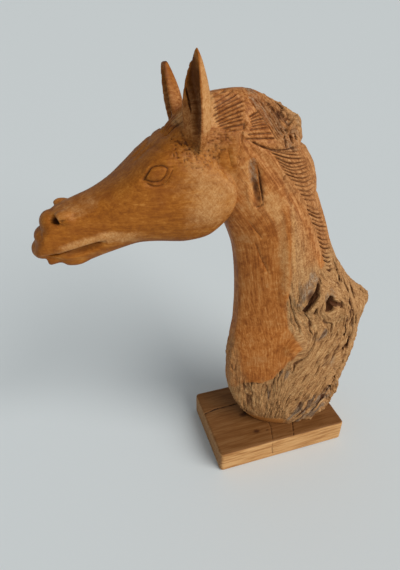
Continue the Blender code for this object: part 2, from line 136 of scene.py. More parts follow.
# Rounded lumps, on the muzzle and on the crest: centre, radii, and lean in the profile.
LUMP_FINENESS = 4
LUMPS = (
    ((-276, -18, 444), (14, 9.5, 8.5), 22),
    ((-276, 18, 444), (14, 9.5, 8.5), 22),
    ((-294, 0, 435), (12.5, 20, 12), 0),
    ((-301, 0, 420), (14, 21.5, 9.5), 0),
    ((-308, 0, 404.5), (12.5, 18, 10.5), 0),
    ((-20, -4, 522), (10, 15, 8.5), 20),
)

# An ear is a leaf-shaped cup: side, foot and tip of its spine, half width, depth, how
# much of the leaf's point it has (the far ear's is broken off round), and how far it
# faces outwards, in degrees.
NEAR_EAR = (-1, (-135.5, -34, 503), (-140.5, -46, 605), 16.8, 21.5, 1.0, 20)
FAR_EAR = (1, (-135.5, 33, 498), (-151.5, 38, 584), 17.0, 18.5, 0.92, 2)
EAR_STATIONS = 32
EAR_ARC_POINTS = 32
EAR_FORWARD = 0.35
# The leaf is widest low down, has full sides, and never gets thinner than its edge.
LEAF_LOW = 0.8
LEAF_FULL = 0.75
LEAF_EDGE = 0.06
# Across an ear, from 0 at its inner rim to 2 at its outer rim, come a lobe that falls a
# little, the cup's floor, which gets deeper, and a steep wall up to the outer lip. Depths
# are shares of the ear's depth, and heights shares of its height. The lobe's width is
# given by height, and it fills the cup at the bottom.
EAR_LIP = 0.14
EAR_LOBE_HEIGHTS = (0.04, 0.10, 0.20, 0.30, 0.44, 0.60, 0.67)
EAR_LOBE_WIDTHS = (1.80, 1.25, 0.90, 0.72, 0.66, 0.36, 0.14)
EAR_LOBE_FALL = 0.30
EAR_FLOOR = (0.58, 0.78)
EAR_WALL = 0.24
EAR_CUP_START = 0.03
EAR_CUP_WIDTH = 0.985
EAR_END_FILL = 0.2
# The wood behind the cup, in millimetres.
EAR_WOOD = 2.8
# How softly an ear's open side begins at its rim, in front of it, at its foot and at its
# tip, and how softly the painted shade in its cup begins, all as shares of its size.
EAR_RIM = (0.02, 0.10)
EAR_BEFORE = (-0.3, -0.1)
EAR_FOOT_FADE = (0.02, 0.08)
EAR_TIP_FADE = (0.99, 1.02)
EAR_SHADE = (0.04, 0.14)
# A slit parts the near ear's lobe from its cup, between these heights.
EAR_SLIT = (0.65, 0.57, 0.49, 0.41)
EAR_SLIT_SIZE = (1.4, 5.0)

# Roughing strokes on the profile: points, half width, depth (negative where the wood
# stands up), and the ends: "full", "fade" at both, "taper" at the far one, or a "lens".
FACE_ROUGHING = (
    (((-186, 491), (-175, 493)), 12, -2.5, "full"),
    (((-204, 497), (-186, 508), (-164, 513), (-150, 512)), 5.0, 1.5, "fade"),
    (((-298, 409), (-282, 413), (-266, 417), (-250, 422), (-236, 425)), 6.5, -1.8, "fade"),
    (((-309, 401), (-291, 404.5), (-275, 408), (-259, 412), (-243, 416)), 3.0, 5.0, "fade"),
    (((-292, 403.5), (-272, 406.5), (-257, 410.5), (-243, 415.5)), 7.0, 6.5, "lens"),
    (((-291.5, 444.5), (-289, 443.5)), 5.6, 10.0, "full"),
    (((-302, 430), (-286, 433)), 3.0, 1.2, "taper"),
)
NEAR_ROUGHING = (
    (((-75, 492), (-74, 482), (-71, 470)), 6.5, 3.4, "fade"),
    (((-73, 480), (-70, 464), (-67, 450), (-65, 439)), 6.5, 4.0, "lens"),
    (((-80, 466), (-77, 454), (-73, 441)), 2.0, -1.0, "fade"),
    (((-26, 443), (-18, 404), (-15, 363), (-13, 317), (-12, 283)), 15, -2.5, "fade"),
    (((-2, 470), (24, 430), (40, 385), (50, 345)), 12, 2.0, "fade"),
    (((22, 296), (45, 288), (74, 274)), 32, -9.0, "full"),
    (((36, 303), (38, 288), (39, 275)), 3.0, -3.0, "fade"),
    (((31, 294), (25, 285), (17, 277)), 2.2, -2.0, "fade"),
    (((20, 258), (31, 265), (44, 267), (58, 267), (71, 274)), 2.6, -2.0, "fade"),
    (((20, 322), (12, 306), (5, 290)), 8.0, 2.5, "fade"),
    (((31, 321), (27, 309), (21, 297), (15, 286), (10, 277)), 5.2, 13.0, "lens"),
    (((24, 324), (19, 311), (14, 298), (9, 286)), 8.0, 3.6, "lens"),
    (((47, 290), (49, 277)), 8.0, 14.0, "full"),
    (((52, 284), (62, 279), (74, 272)), 6.5, 9.0, "taper"),
    (((28, 284), (28, 275), (29, 268)), 3.0, 6.0, "lens"),
    (((58, 247), (51, 232), (40, 213)), 6.0, 3.0, "fade"),
    (((4, 212), (12, 215)), 16, -3.5, "full"),
    (((-60, 95), (-20, 140), (10, 175)), 14, 2.5, "fade"),
    (((88, 118), (74, 94), (62, 80), (53, 62)), 4.0, 6.0, "fade"),
    (((101, 168), (92, 140), (84, 120)), 4.0, 4.5, "fade"),
    (((60, 150), (44, 118), (30, 92)), 5.0, 3.0, "fade"),
    (((-36, 518), (-28, 524), (-20, 528), (-12, 529)), 3.6, -4.5, "fade"),
    (((-34, 511), (-27, 516), (-17, 521)), 2.8, 3.0, "fade"),
)
FAR_ROUGHING = (
    (((-20, 420), (-12, 360), (-4, 300)), 15, -2.5, "fade"),
    (((30, 255), (62, 236)), 26, -6.0, "full"),
    (((38, 250), (56, 240)), 8, 13.0, "full"),
    (((92, 238), (94, 190), (84, 140)), 4, 6.0, "fade"),
    (((20, 170), (34, 140), (30, 110)), 6, 3.5, "fade"),
)
BACK_CRACKS = (
    (((53, 357), (62, 338), (70, 318), (78, 301)), 2.4, 6.0, "fade"),
    (((82, 309), (84, 298), (86, 286)), 3.2, 12.0, "lens"),
    (((99, 296), (102, 284), (105, 272)), 2.8, 10.0, "lens"),
    (((75, 294), (83, 279), (92, 261)), 1.5, 3.0, "fade"),
    (((108, 246), (111, 228), (113, 212), (115, 194)), 2.8, 10.0, "lens"),
    (((98, 240), (102, 200), (98, 160)), 2.0, 4.0, "fade"),
    (((84, 250), (92, 210), (90, 170)), 2.0, 3.0, "fade"),
)
# Strokes over the crest of the neck run from side to side, through points on the body.
CREST_STROKES = (
    (((-13, -24, 520), (-11, -12, 526), (-10, 0, 528), (-12, 12, 526)), 5.0, -2.5, "fade"),
    (((-10, -28, 502), (-4, -15, 499), (-2, 0, 498), (-4, 15, 499)), 7.0, 3.5, "fade"),
    (((-38, -4, 549), (-30, -14, 541)), 5, 2.0, "fade"),
    (((30, -24, 437), (33, -8, 440), (33, 8, 440), (30, 24, 437)), 5, 2.0, "fade"),
)

# Fine strokes, cut into the finished form.
FACE_DETAIL = (
    (((-195.5, 485), (-192, 491), (-187, 497), (-181, 499), (-175, 499), (-170.5, 496)),
     2.3, 2.6, "full"),
    (((-195.5, 485), (-187, 482.5), (-179, 482.5), (-173.5, 488), (-170.5, 496)), 2.1, 2.4, "full"),
    (((-196, 483.5), (-188, 478.5), (-179, 478), (-171, 483), (-167, 490), (-163, 497)),
     1.8, 2.3, "fade"),
    (((-170.5, 496), (-164.5, 496.5)), 1.5, 2.0, "fade"),
    (((-284, 444), (-276, 447), (-269, 449), (-260, 451)), 1.8, 2.4, "taper"),
    (((-309, 402), (-291, 405.5), (-275, 409), (-259, 413), (-242, 416.5)), 2.0, 4.5, "fade"),
    (((-163, 520), (-156, 518), (-150, 513)), 1.5, 1.8, "fade"),
)
NECK_DETAIL = (
    (((-110, 507), (-114, 496), (-112, 484)), 1.3, 1.4, "fade"),
    (((-104, 512), (-101, 498), (-98, 487)), 1.2, 1.2, "fade"),
    (((-74, 420), (-63, 405), (-52, 391)), 1.1, 1.0, "fade"),
    (((-60, 386), (-51, 363), (-40, 340)), 1.1, 1.0, "fade"),
    (((-94, 499), (-90, 495), (-84, 497)), 1.2, 1.2, "fade"),
    (((-70, 488), (-66, 477), (-63, 462), (-60, 449), (-59, 440)), 1.9, 3.6, "lens"),
    (((-59, 441), (-61, 438), (-67, 437)), 1.8, 2.4, "fade"),
    (((-84, 531), (-85, 526)), 2.2, 3.0, "full"),
    (((-87, 523), (-88, 514)), 1.4, 2.4, "full"),
    (((-87, 517), (-90, 507), (-91, 497)), 1.2, 1.3, "fade"),
    (((-122, 493), (-110, 486), (-101, 475), (-95, 464), (-96, 451)), 1.3, 1.2, "fade"),
    (((-55, 554), (-49, 543), (-40, 533), (-34, 526)), 1.6, 3.2, "lens"),
    (((-66, 552), (-57, 540), (-48, 530), (-40, 520)), 1.4, 2.4, "lens"),
    (((-36, 466), (-33, 471)), 1.6, 2.4, "full"),
    (((-46, 545), (-38, 538), (-31, 529)), 2.0, 4.0, "lens"),
    (((-37, 545), (-30, 538), (-25, 531)), 1.6, 3.2, "lens"),
    (((-57, 551), (-54, 548)), 1.4, 2.0, "fade"),
    (((-30, 514), (-22, 519), (-13, 523)), 1.6, 2.4, "fade"),
    (((-35, 516), (-35, 509), (-34, 501)), 1.9, 4.0, "fade"),
    (((-28, 515), (-27, 511), (-25, 505)), 1.9, 4.0, "fade"),
    (((-22, 516), (-19, 507)), 1.8, 4.0, "fade"),
    (((-14, 517), (-13, 509)), 1.4, 2.2, "fade"),
)

# The mane is carved in fans of grooves that run through three guide lines, from the
# first to the last: the guides, how many grooves, half width and depth.
MANE_FANS = (
    (((-117, 555), (-118, 547), (-119, 542), (-119, 536), (-116, 532), (-113, 529), (-105, 524)),
     ((-105, 558), (-103, 553), (-101, 549), (-100, 543), (-99, 537), (-97, 532), (-94, 525)),
     ((-97, 560), (-86, 559), (-80, 555), (-80, 549), (-82, 541), (-83, 534), (-84, 526)),
     11, 1.9, 3.0),
    (((-78, 537), (-78, 531), (-80, 525), (-86, 516)),
     ((-70, 540), (-67, 533), (-67, 526), (-68, 515)),
     ((-65, 542), (-58, 533), (-54, 526), (-42, 513)), 8, 1.7, 3.0),
    (((-79, 514), (-58, 503), (-50, 494), (-41, 483), (-31, 470), (-16, 454), (-7, 440)),
     ((-51, 502), (-34, 495), (-26, 482), (-20, 473), (-8, 461), (0, 448), (10, 433)),
     ((-8, 499), (-7, 488), (3, 480), (6, 472), (13, 459), (19, 446), (25, 430)), 14, 1.5, 3.0),
    (((-1, 432), (8, 414), (18, 395), (27, 375), (35, 355), (43, 334)),
     ((14, 422), (23, 405), (33, 385), (41, 365), (46, 347), (51, 329)),
     ((34, 413), (44, 394), (51, 376), (54, 360), (55, 345), (56, 330)), 15, 1.6, 3.2),
)
# Long soft locks flow down the neck in front of the carved ones.
FLOW_FAN = (((-80, 508), (-64, 500)), ((-47, 474), (-30, 460)), ((-4, 408), (10, 398)), 4, 2.6, 0.9)
# The raw strip over the crest is split along its length.
RAW_STRIP_FAN = (
    ((-77, 555), (-61, 558)), ((-61, 534), (-47, 539)), ((-41, 506), (-31, 511)), 6, 1.4, 2.4)
# The forelock's locks come down between the ears, given from above.
FORELOCK_FAN = (
    ((-143, -17), (-143, 14)), ((-153, -14), (-153, 11)), ((-167, -9), (-167, 7)), 5, 1.8, 2.4)
STROKE_STEPS = 6
GUIDE_STEPS = 24
# How much the grooves of a fan differ at their ends, and in width and depth, and over
# what size that changes.
FAN_RAGGED = 0.14
FAN_UNEVEN = 0.35
FAN_CHANGE = 1.7
# How a stroke falls off to its sides: round for a gouge, sharp for a knife.
GOUGE = (2, 1.5)
KNIFE = (1.25, 1.15)
# How strokes fade, taper and come to a point at their ends.
FADE_SHARE = 0.12
FADED_STRENGTH = 0.2
TAPER_LOSS = 0.7
LENS_POINT = 0.02
# From and to which depth, in millimetres, a hollow is painted dark as shade: rough strokes, then
# fine ones.
SHALLOW = 1.5
DEEP = 5.5
FINE_DARKENS = (0.8, 3.0)

# The grain follows the log's pith up the neck, and the line of a branch along the head.
NECK_PITH = ((38, 0), (32, 120), (24, 220), (-6, 320), (-22, 400), (-50, 450), (-84, 496),
             (-120, 550))
HEAD_PITH = ((-60, 450), (-150, 454), (-240, 458), (-340, 466))
PITH_STEPS = 8
# Below the knots the raw sapwood's grain leans back, between these places, and it parts
# round a knot: place and radius.
GRAIN_LEAN = 0.55
GRAIN_LEAN_TOP = 235
GRAIN_LEAN_START = (-30, 10)
GRAIN_LEAN_END = (70, 120)
KNOTS = ((20, 300, 9), (54, 282, 9), (48, 230, 6), (10, 213, 13))
KNOT_LENGTH = 0.4
# The edge between the polished heartwood and the raw sapwood, where it ends below, how
# soft it is, and how far and over what size it wanders.
HEART_EDGE = ((-60, 560), (-40, 480), (-26, 443), (-18, 404), (-14, 350), (-12, 283), (-3, 245),
              (16, 214), (-2, 188), (-8, 174), (-20, 154), (-56, 136), (-90, 122))
HEART_WANDER = 5 * MM
HEART_WANDERS = ((12, 30, 14), 3)
HEART_SOFTNESS = (-2 * MM, 3 * MM)
# The head begins this far in front of the middle, and the near half ends about it.
HEAD_START = (84, 100)
NEAR_HALF = (-4, 4)
# Up to this share of its reach a place or a line has its full strength.
PLACE_CORE = 0.45
LINE_CORE = 0.5

# Lines of the profile along which the wood has its own look, each with its reach. On the
# crest: the bed of the mane with where it ends below, the raw strip, and the split wood.
MANE_BED = (((-122, 542), (-90, 544), (-62, 528), (-36, 496), (-8, 462), (14, 420), (30, 378),
             (44, 336)), 40)
RAW_STRIP = (((-70, 556), (-63, 546), (-56, 537), (-47, 528), (-40, 519), (-32, 504)), 8.5)
SPLIT_WOOD = (((-46, 550), (-32, 536), (-20, 520), (-18, 506)), 13)
MANE_END = (330, 350)
# The hollow behind the cheek, the slot below it, and the slot in the neck; the slots are partly
# painted dark as shade.
CHEEK_HOLLOW = (((-75, 492), (-75, 481), (-72, 471)), 7)
CHEEK_SLOT = (((-71, 468), (-69, 455), (-66, 443)), 7)
NECK_SLOT = (((22, 322), (16, 306), (9, 288)), 15)
# The bark on the chest, the heartwood beside the mane, the neck's pale top, and its front, painted
# dark as shade.
CHEST_BARK = (((-90, 212), (-83, 172), (-74, 140), (-60, 112), (-40, 96)), 24)
MANE_SIDE = (((-23, 446), (-4, 422), (9, 396), (21, 370), (34, 344)), 7)
NECK_TOP = (((-92, 500), (-62, 470), (-36, 410), (-24, 350), (-18, 290)), 40)
NECK_TOP_RISE = (390, 440)
NECK_FRONT_SHADE = (((-94, 404), (-81, 369), (-76, 345), (-74, 319), (-74, 270)), 12)
# The stippled foot of the ear with where it ends above, the mouth, round which the painted shade
# and dirt are lighter, and the wood below it, painted dark as the shade under the upper lip.
EAR_FOOT = (((-154, 510), (-138, 503), (-120, 506), (-108, 524)), 17)
EAR_FOOT_END = (524, 532)
MOUTH = (((-300, 404), (-245, 416)), 14)
SHADE_BELOW_LIP = (((-291, 401), (-272, 404.5), (-256, 409), (-247, 413)), 4.5)
# Dark broken wood low on both sides, and round the small knot on the near one.
DARK_WOOD = ((((40, 70), (64, 92), (84, 120)), 26), (((-30, 116), (0, 150)), 14))
DARK_KNOT = (((38, 214), (50, 232), (56, 246)), 10)
# Where weather has greyed the raw wood: places, reach and strength.
GREY_PLACES = ((16, 330, 22, 0.4), (4, 308, 20, 0.4), (46, 296, 17, 0.5), (46, 230, 16, 0.8),
               (-27, 119, 17, 0.7), (-5, 161, 14, 0.7), (48, 84, 34, 1.0), (90, 170, 26, 0.7),
               (84, 215, 20, 0.5), (30, 60, 26, 0.8), (80, 100, 30, 0.8), (70, 58, 24, 0.9))
# The near ear's back, painted pale as a highlight, lies above these heights, and in front of this
# place; the rest of the ear there is painted a little dark as shade.
EAR_START = (525, 535)
EAR_BACK_END = -112
# The fresh sawn place low on the foot: its upper, back and inner edge.
SAWN_UPPER = (54, 60)
SAWN_BACK = (4, 16)
SAWN_INNER = (-10, 0)
# The pale cheek: its front, back, lower and upper edge.
CHEEK_FRONT = (-188, -140)
CHEEK_BACK = (-118, -104)
CHEEK_LOWER = (395, 440)
CHEEK_UPPER = (508, 524)
# A painted highlight along the nostril's ridge, and pale rubbed wood down the side of the neck:
# strength, line, reach.
PALE_LINES = (
    (0.4, ((-284, 450), (-262, 452)), 8),
    (0.5, ((-44, 436), (-35, 414), (-29, 391), (-24, 367), (-17, 317)), 7),
    (0.7, ((-21, 435), (-19, 413), (-16, 391), (-13, 367), (-9, 342)), 3),
)
PALE_NOSE = (-250, 458, 12)
PALE_JAW = (-112, 458, 42)
# The pale bevel along the upper lip: places on it with its lower and upper edge, how soft
# its edges are, and where it starts and ends.
LIP_BEVEL = ((-304, 405, 410), (-288, 408, 418), (-267, 411, 424), (-245, 415, 430),
             (-225, 413, 430), (-200, 408, 428))
LIP_BEVEL_LOWER = (-1, 1)
LIP_BEVEL_UPPER = (-4, 2)
LIP_BEVEL_START = (-308, -275)
LIP_BEVEL_END = (-222, -178)

# Weather is calm above the knots, but less so behind a line that leans back. It is rough
# low at the back, and up the back: between which heights and which places.
CALM_ABOVE = (300, 350)
CALM_BACK = (70, 100)
CALM_BACK_LEAN = 0.6
CORNER_UPPER = (90, 170)
CORNER_FRONT = (0, 50)
BACK_UPPER = (260, 290)
BACK_FRONT = (60, 100)
ROUGHEST = 1.7

# How weather works along the grain: size in millimetres, and a number for the chance in
# it. First what splits it, with the width of the lines, then what comes in lumps.
FISSURES = ((3.2, 3.2, 30), 11, 0.30)
CRACKS = ((6.5, 6.5, 70), 14, 0.13)
WORN_FIBRES = ((1.6, 1.6, 12), 12)
WORN_LUMPS = ((9, 9, 34), 13)
WORN_CHIPS = ((3.6, 3.6, 8), 15)
CRUMBLED = ((15, 15, 36), 16)
GREY_PATCHES = ((6, 6, 24), 7)
PLANING = ((16, 16, 30), 31)
# Chance that comes in round flecks, with its size and number, and how far the grain wanders.
DIRT = ((4, 8), (9, 9))
STIPPLE_PATCHES = (7, 23)
STIPPLE_PITS = (1.7, 21)
GRAIN_WANDER = 2.2 * MM
GRAIN_WANDERS = ((13, 41), (13, 42))
# From and to where such chance, or the depth of weather, begins to show; deep weather is painted
# dark as shade.
CRUMBLING = (-0.4, 0.5)
PATCHY = (-0.6, 0.7)
DIRTY = (-0.5, 0.6)
STIPPLED_FROM = (0.3, 1.2)
PITTED_FROM = (0.0, 0.5)
SUNK_FROM = (0.5, 2.6)

# Odd numbers that scramble a cell's place into a value that looks like chance.
SCRAMBLE = (73856093, 19349663, 83492791)
SCRAMBLE_SEED = 2654435
SCRAMBLE_AGAIN = 1274126177


def smooth_rows(rows, steps):
    """Rows of numbers with the rows of a smooth curve between them, steps for each gap."""
    rows = np.asarray(rows, float)
    padded = np.vstack([2 * rows[0] - rows[1], rows, 2 * rows[-1] - rows[-2]])
    made = []
    for first in range(len(rows) - 1):
        before, start, end, after = padded[first:first + 4]
        for step in range(steps):
            t = step / steps
            made.append(
                start
                + 0.5 * t * (end - before)
                + t * t * (before - 2.5 * start + 2 * end - 0.5 * after)
                + t * t * t * 0.5 * (after - before + 3 * (start - end))
            )
    made.append(rows[-1])
    return np.array(made)


def eased(values, low, high):
    """0 below low, 1 above high, and a soft slope between them."""
    part = np.clip((values - low) / (high - low), 0, 1)
    return part * part * (3 - 2 * part)


def speckle(points, size, seed):
    """Smooth noise from -1 to 1 at each point; a lump is about as big as size."""
    places = points / np.asarray(size)
    cell = np.floor(places).astype(np.int64)
    part = places - cell
    ease = part * part * (3 - 2 * part)
    total = np.zeros(len(points))
    for corner in itertools.product((0, 1), repeat=3):
        spot = cell + corner
        mixed = spot * SCRAMBLE
        key = mixed[:, 0] ^ mixed[:, 1] ^ mixed[:, 2] ^ seed * SCRAMBLE_SEED
        key = (key ^ key >> 13) * SCRAMBLE_AGAIN & 0xFFFFFFFF
        value = ((key ^ key >> 16) & 0xFFFF) / (0xFFFF / 2) - 1
        total += value * np.prod(np.where(corner, ease, 1 - ease), axis=1)
    return total


def speckle_mm(points, size, seed):
    """The same noise for points in metres, with its size in millimetres."""
    return speckle(points, np.asarray(size) * MM, seed)


def rib_ring(rib, flat=1.0):
    """The closed ring of points of one rib, planed off beyond flat of its front half."""
    front_x, front_z, back_x, back_z, half_width, widest, front_square, back_square = rib
    ring = []
    for index in range(RING_POINTS):
        turn = 2 * math.pi * index / RING_POINTS
        power = 2 / (front_square if math.cos(turn) > 0 else back_square)
        along = math.copysign(abs(math.cos(turn)) ** power, math.cos(turn))
        across = math.copysign(abs(math.sin(turn)) ** power, math.sin(turn))
        along = min(along + widest * (1 - along * along), flat)
        x = (front_x + back_x) / 2 + along * (front_x - back_x) / 2
        z = (front_z + back_z) / 2 + along * (front_z - back_z) / 2
        ring.append(Vector((x, across * half_width, z)) * MM)
    return ring


def add_loft(solid, rings):
    """Adds a closed skin over the rings."""
    rows = [[solid.verts.new(point) for point in ring] for ring in rings]
    count = len(rows[0])
    for lower, upper in zip(rows, rows[1:]):
        for index in range(count):
            following = (index + 1) % count
            solid.faces.new((lower[index], lower[following], upper[following], upper[index]))
    solid.faces.new(list(reversed(rows[0])))
    solid.faces.new(rows[-1])


def add_ribbed_body(solid, ribs, flat=1.0):
    rows = smooth_rows([(*rib[0], *rib[1], *rib[2:]) for rib in ribs], SECTIONS_PER_RIB)
    add_loft(solid, [rib_ring(row, flat) for row in rows])


def add_lump(solid, centre, radii, lean_deg):
    """Adds an egg-shaped lump; lean_deg turns it in the profile."""
    place = (
        Matrix.Translation(Vector(centre) * MM)
        @ Matrix.Rotation(math.radians(lean_deg), 4, "Y")
        @ Matrix.Diagonal((*[radius * MM for radius in radii], 1))
    )
    bmesh.ops.create_icosphere(solid, subdivisions=LUMP_FINENESS, radius=1, matrix=place)


def leaf_outline(t):
    """Half width of an ear along its spine, 1 at the widest."""
    return max(LEAF_EDGE, math.sin(math.pi * min(1.0, t) ** LEAF_LOW) ** LEAF_FULL)


def ear_lobe_width(t):
    return np.interp(t, EAR_LOBE_HEIGHTS, EAR_LOBE_WIDTHS)


def ear_cup_depth(place, t):
    """How deep the cup is, as a share of the ear's depth, at a place from 0 to 2 across it."""
    lobe = ear_lobe_width(t)
    shallow, deep = EAR_FLOOR
    floor = shallow + (deep - shallow) * place / 2
    if place <= lobe:
        floor = EAR_LOBE_FALL * place
    return floor * min(1.0, max(0.0, 2 - EAR_LIP - place) / EAR_WALL)


def ear_axes(side, foot, tip, facing_deg):
    """The ear's foot, tip, the way it faces and the way across it to its outer rim."""
    foot = Vector(foot) * MM
    tip = Vector(tip) * MM
    spine = (tip - foot).normalized()
    turn = math.radians(facing_deg)
    facing = Vector((-math.cos(turn), side * math.sin(turn), 0))
    facing = (facing - spine * facing.dot(spine)).normalized()
    return foot, tip, facing, facing.cross(spine) * side


def add_ear(solid, side, foot, tip, half_width, depth, point, facing_deg):
    """Adds one ear; side is -1 for the left, near ear and 1 for the right one."""
    foot, tip, facing, outwards = ear_axes(side, foot, tip, facing_deg)
    arc = [math.pi * (index / (EAR_ARC_POINTS - 1) - 0.5) for index in range(EAR_ARC_POINTS)]
    rings = []
    for station in range(EAR_STATIONS + 1):
        t = station / EAR_STATIONS
        width = half_width * MM * leaf_outline(t * point)
        back = depth * MM * leaf_outline(t * point)
        hollow = math.sin(math.pi * max(0, t - EAR_CUP_START)) ** 0.5
        centre = foot.lerp(tip, t) + facing * EAR_FORWARD * back
        outside = [
            centre + outwards * width * math.sin(angle) - facing * back * math.cos(angle)
            for angle in arc
        ]
        inside = []
        for angle in reversed(arc):
            across = math.sin(angle)
            deep = ear_cup_depth(across + 1, t) * hollow - (1 - hollow) * EAR_END_FILL
            deep = min(deep, max(0.0, math.cos(angle) - EAR_WOOD * MM / back))
            inside.append(centre + outwards * width * EAR_CUP_WIDTH * across - facing * back * deep)
        rings.append(outside + inside)
    add_loft(solid, rings)


def ear_slit(side, foot, tip, half_width, depth, point, facing_deg):
    """The stroke that parts the ear's lobe from its cup, as points on the body."""
    foot, tip, facing, outwards = ear_axes(side, foot, tip, facing_deg)
    line = []
    for t in EAR_SLIT:
        leaf = leaf_outline(t * point)
        lobe = ear_lobe_width(t)
        out = EAR_FORWARD - EAR_LOBE_FALL * lobe
        centre = foot.lerp(tip, t) + facing * out * depth * MM * leaf
        line.append(tuple((centre + outwards * half_width * MM * leaf * (lobe - 1)) / MM))
    return tuple(line), *EAR_SLIT_SIZE, "lens"


def ear_inside(points, side, foot, tip, half_width, depth, point, facing_deg):
    """Which points are on the ear's open side, and which of them are down in its cup, 0 to 1."""
    foot, tip, facing, outwards = ear_axes(side, foot, tip, facing_deg)
    away = points - np.array(foot)
    length = (tip - foot).length
    t = away @ np.array((tip - foot) / length) / length
    leaf = np.array([leaf_outline(value) for value in np.clip(t * point, 0, 1)])
    across = away @ np.array(outwards) / (half_width * MM * leaf)
    deep = EAR_FORWARD - away @ np.array(facing) / (depth * MM * leaf)
    inside = eased(np.sqrt(np.maximum(0, 1 - across * across)) - deep, *EAR_RIM)
    inside *= eased(deep, *EAR_BEFORE) * eased(t, *EAR_FOOT_FADE) * (1 - eased(t, *EAR_TIP_FADE))
    return inside, inside * eased(deep - EAR_LOBE_FALL * (across + 1), *EAR_SHADE)


def made_object(name, solid):
    """Turns a solid that is worked out into an object."""
    mesh = bpy.data.meshes.new(name)
    solid.to_mesh(mesh)
    solid.free()
    made = bpy.data.objects.new(name, mesh)
    bpy.context.scene.collection.objects.link(made)
    return made


def work_in(thing):
    """Works the object's modifiers into its mesh."""
    graph = bpy.context.evaluated_depsgraph_get()
    worked = bpy.data.meshes.new_from_object(thing.evaluated_get(graph))
    old = thing.data
    thing.modifiers.clear()
    thing.data = worked
    bpy.data.meshes.remove(old)


def one_skin(thing, voxel, passes):
    skin = thing.modifiers.new("one_skin", "REMESH")
    skin.mode = "VOXEL"
    skin.voxel_size = voxel
    sanded = thing.modifiers.new("sanded", "SMOOTH")
    sanded.iterations = passes
    work_in(thing)


def mesh_points(mesh):
    points = np.empty(len(mesh.vertices) * 3, np.float32)
    mesh.vertices.foreach_get("co", points)
    return points.reshape(-1, 3).astype(float)


def mesh_normals(mesh):
    normals = np.empty(len(mesh.vertices) * 3, np.float32)
    mesh.vertex_normals.foreach_get("vector", normals)
    return normals.reshape(-1, 3).astype(float)


def set_points(mesh, points):
    mesh.vertices.foreach_set("co", points.astype(np.float32).ravel())
    mesh.update()


def set_marks(mesh, **marks):
    """Keeps numbers or vectors at the mesh's points, under the names that its finish reads."""
    for name, values in marks.items():
        kind = "FLOAT" if values.ndim == 1 else "FLOAT_VECTOR"
        field = "value" if values.ndim == 1 else "vector"
        mark = mesh.attributes.new(name, kind, "POINT")
        mark.data.foreach_set(field, values.astype(np.float32).ravel())


def log_blank():
    """The uncarved body: neck, head and ears in one skin."""
    solid = bmesh.new()
    add_ribbed_body(solid, NECK_RIBS, THROAT_FLAT)
    add_ribbed_body(solid, HEAD_RIBS)
    add_ribbed_body(solid, LIP_RIBS)
    for centre, radii, lean in LUMPS:
        add_lump(solid, centre, radii, lean)
    add_ear(solid, *NEAR_EAR)
    add_ear(solid, *FAR_EAR)
    bmesh.ops.recalc_face_normals(solid, faces=solid.faces)
    return made_object("carved_horse_head", solid)


def fan_strokes(start_guide, middle_guide, end_guide, count, half_width, depth):
    """The grooves of one fan, spread over its guide lines and a little uneven, as cut by hand."""
    guides = [smooth_rows(guide, GUIDE_STEPS) for guide in (start_guide, middle_guide, end_guide)]
    strokes = []
    for share in np.linspace(0, 1, count):
        start, middle, end = [guide[round(share * (len(guide) - 1))] for guide in guides]
        ends = np.array([(*place, depth) for place in (start, middle, end)])
        chance = speckle(ends, FAN_CHANGE, count)
        start = start + (start - middle) * FAN_RAGGED * chance[0]
        end = end + (end - middle) * FAN_RAGGED * chance[2]
        width = half_width * (1 + FAN_UNEVEN * chance[1])
        strokes.append(((start, middle, end), width, depth * (1 + FAN_UNEVEN * chance[0]), "fade"))
    return strokes


def laid_stroke(tree, points, side):
    """A stroke's points, smoothed and laid on the body, each with the skin's normal there.

    The points are in the profile, on its side -1 or 1, or with side 0 seen from above.
    Points with three numbers are on the body already."""
    laid = []
    for place in smooth_rows(points, STROKE_STEPS) * MM:
        if len(place) == 3:
            found = tree.find_nearest(Vector(place))
        elif side:
            beside = Vector((place[0], side * SIDE_REACH, place[1]))
            found = tree.ray_cast(beside, Vector((0, -side, 0)))
        else:
            found = tree.ray_cast(Vector((*place, TOP_REACH)), Vector((0, 0, -1)))
        if found[0] is None:
            found = tree.find_nearest(Vector((place[0], side * NEAR_MIDDLE, place[1])))
        laid.append((*found[0], *found[1]))
    return np.array(laid)


def stroke_share(points, line, half_width, ends, blade=GOUGE):
    """Which points a stroke along the line works on, how strongly (0 to 1), and the way out."""
    reach = half_width * MM
    spots, outwards = line[:, :3], line[:, 3:]
    near = np.flatnonzero(
        np.all((points > spots.min(0) - reach) & (points < spots.max(0) + reach), axis=1)
    )
    chosen = points[near]
    gap = np.full(len(chosen), np.inf)
    along = np.zeros(len(chosen))
    way = np.zeros((len(chosen), 3))
    for index, (start, end) in enumerate(zip(spots, spots[1:])):
        step = end - start
        part = np.clip((chosen - start) @ step / max(step @ step, 1e-12), 0, 1)
        distance = np.linalg.norm(chosen - start - part[:, None] * step, axis=1)
        closer = distance < gap
        gap[closer] = distance[closer]
        along[closer] = (index + part[closer]) / (len(line) - 1)
        turned = outwards[index] + part[:, None] * (outwards[index + 1] - outwards[index])
        way[closer] = turned[closer]
    strength = {
        "full": np.ones(len(chosen)),
        "fade": np.clip(np.minimum(along, 1 - along) / FADE_SHARE, FADED_STRENGTH, 1),
        "taper": 1 - TAPER_LOSS * along,
        "lens": np.sin(math.pi * np.clip(along, LENS_POINT, 1 - LENS_POINT)) ** 0.5,
    }[ends]
    width = reach * (1 + strength) / 2
    return near, strength * np.clip(1 - (gap / width) ** blade[0], 0, 1) ** blade[1], way


def skin_tree(thing):
    points = mesh_points(thing.data)
    faces = [tuple(face.vertices) for face in thing.data.polygons]
    return BVHTree.FromPolygons(points.tolist(), faces)


def laid_strokes(thing, strokes):
    """Strokes of (side, points, half width, depth, ends) with their points laid on the skin."""
    tree = skin_tree(thing)
    return [(laid_stroke(tree, line, side), *shape) for side, line, *shape in strokes]


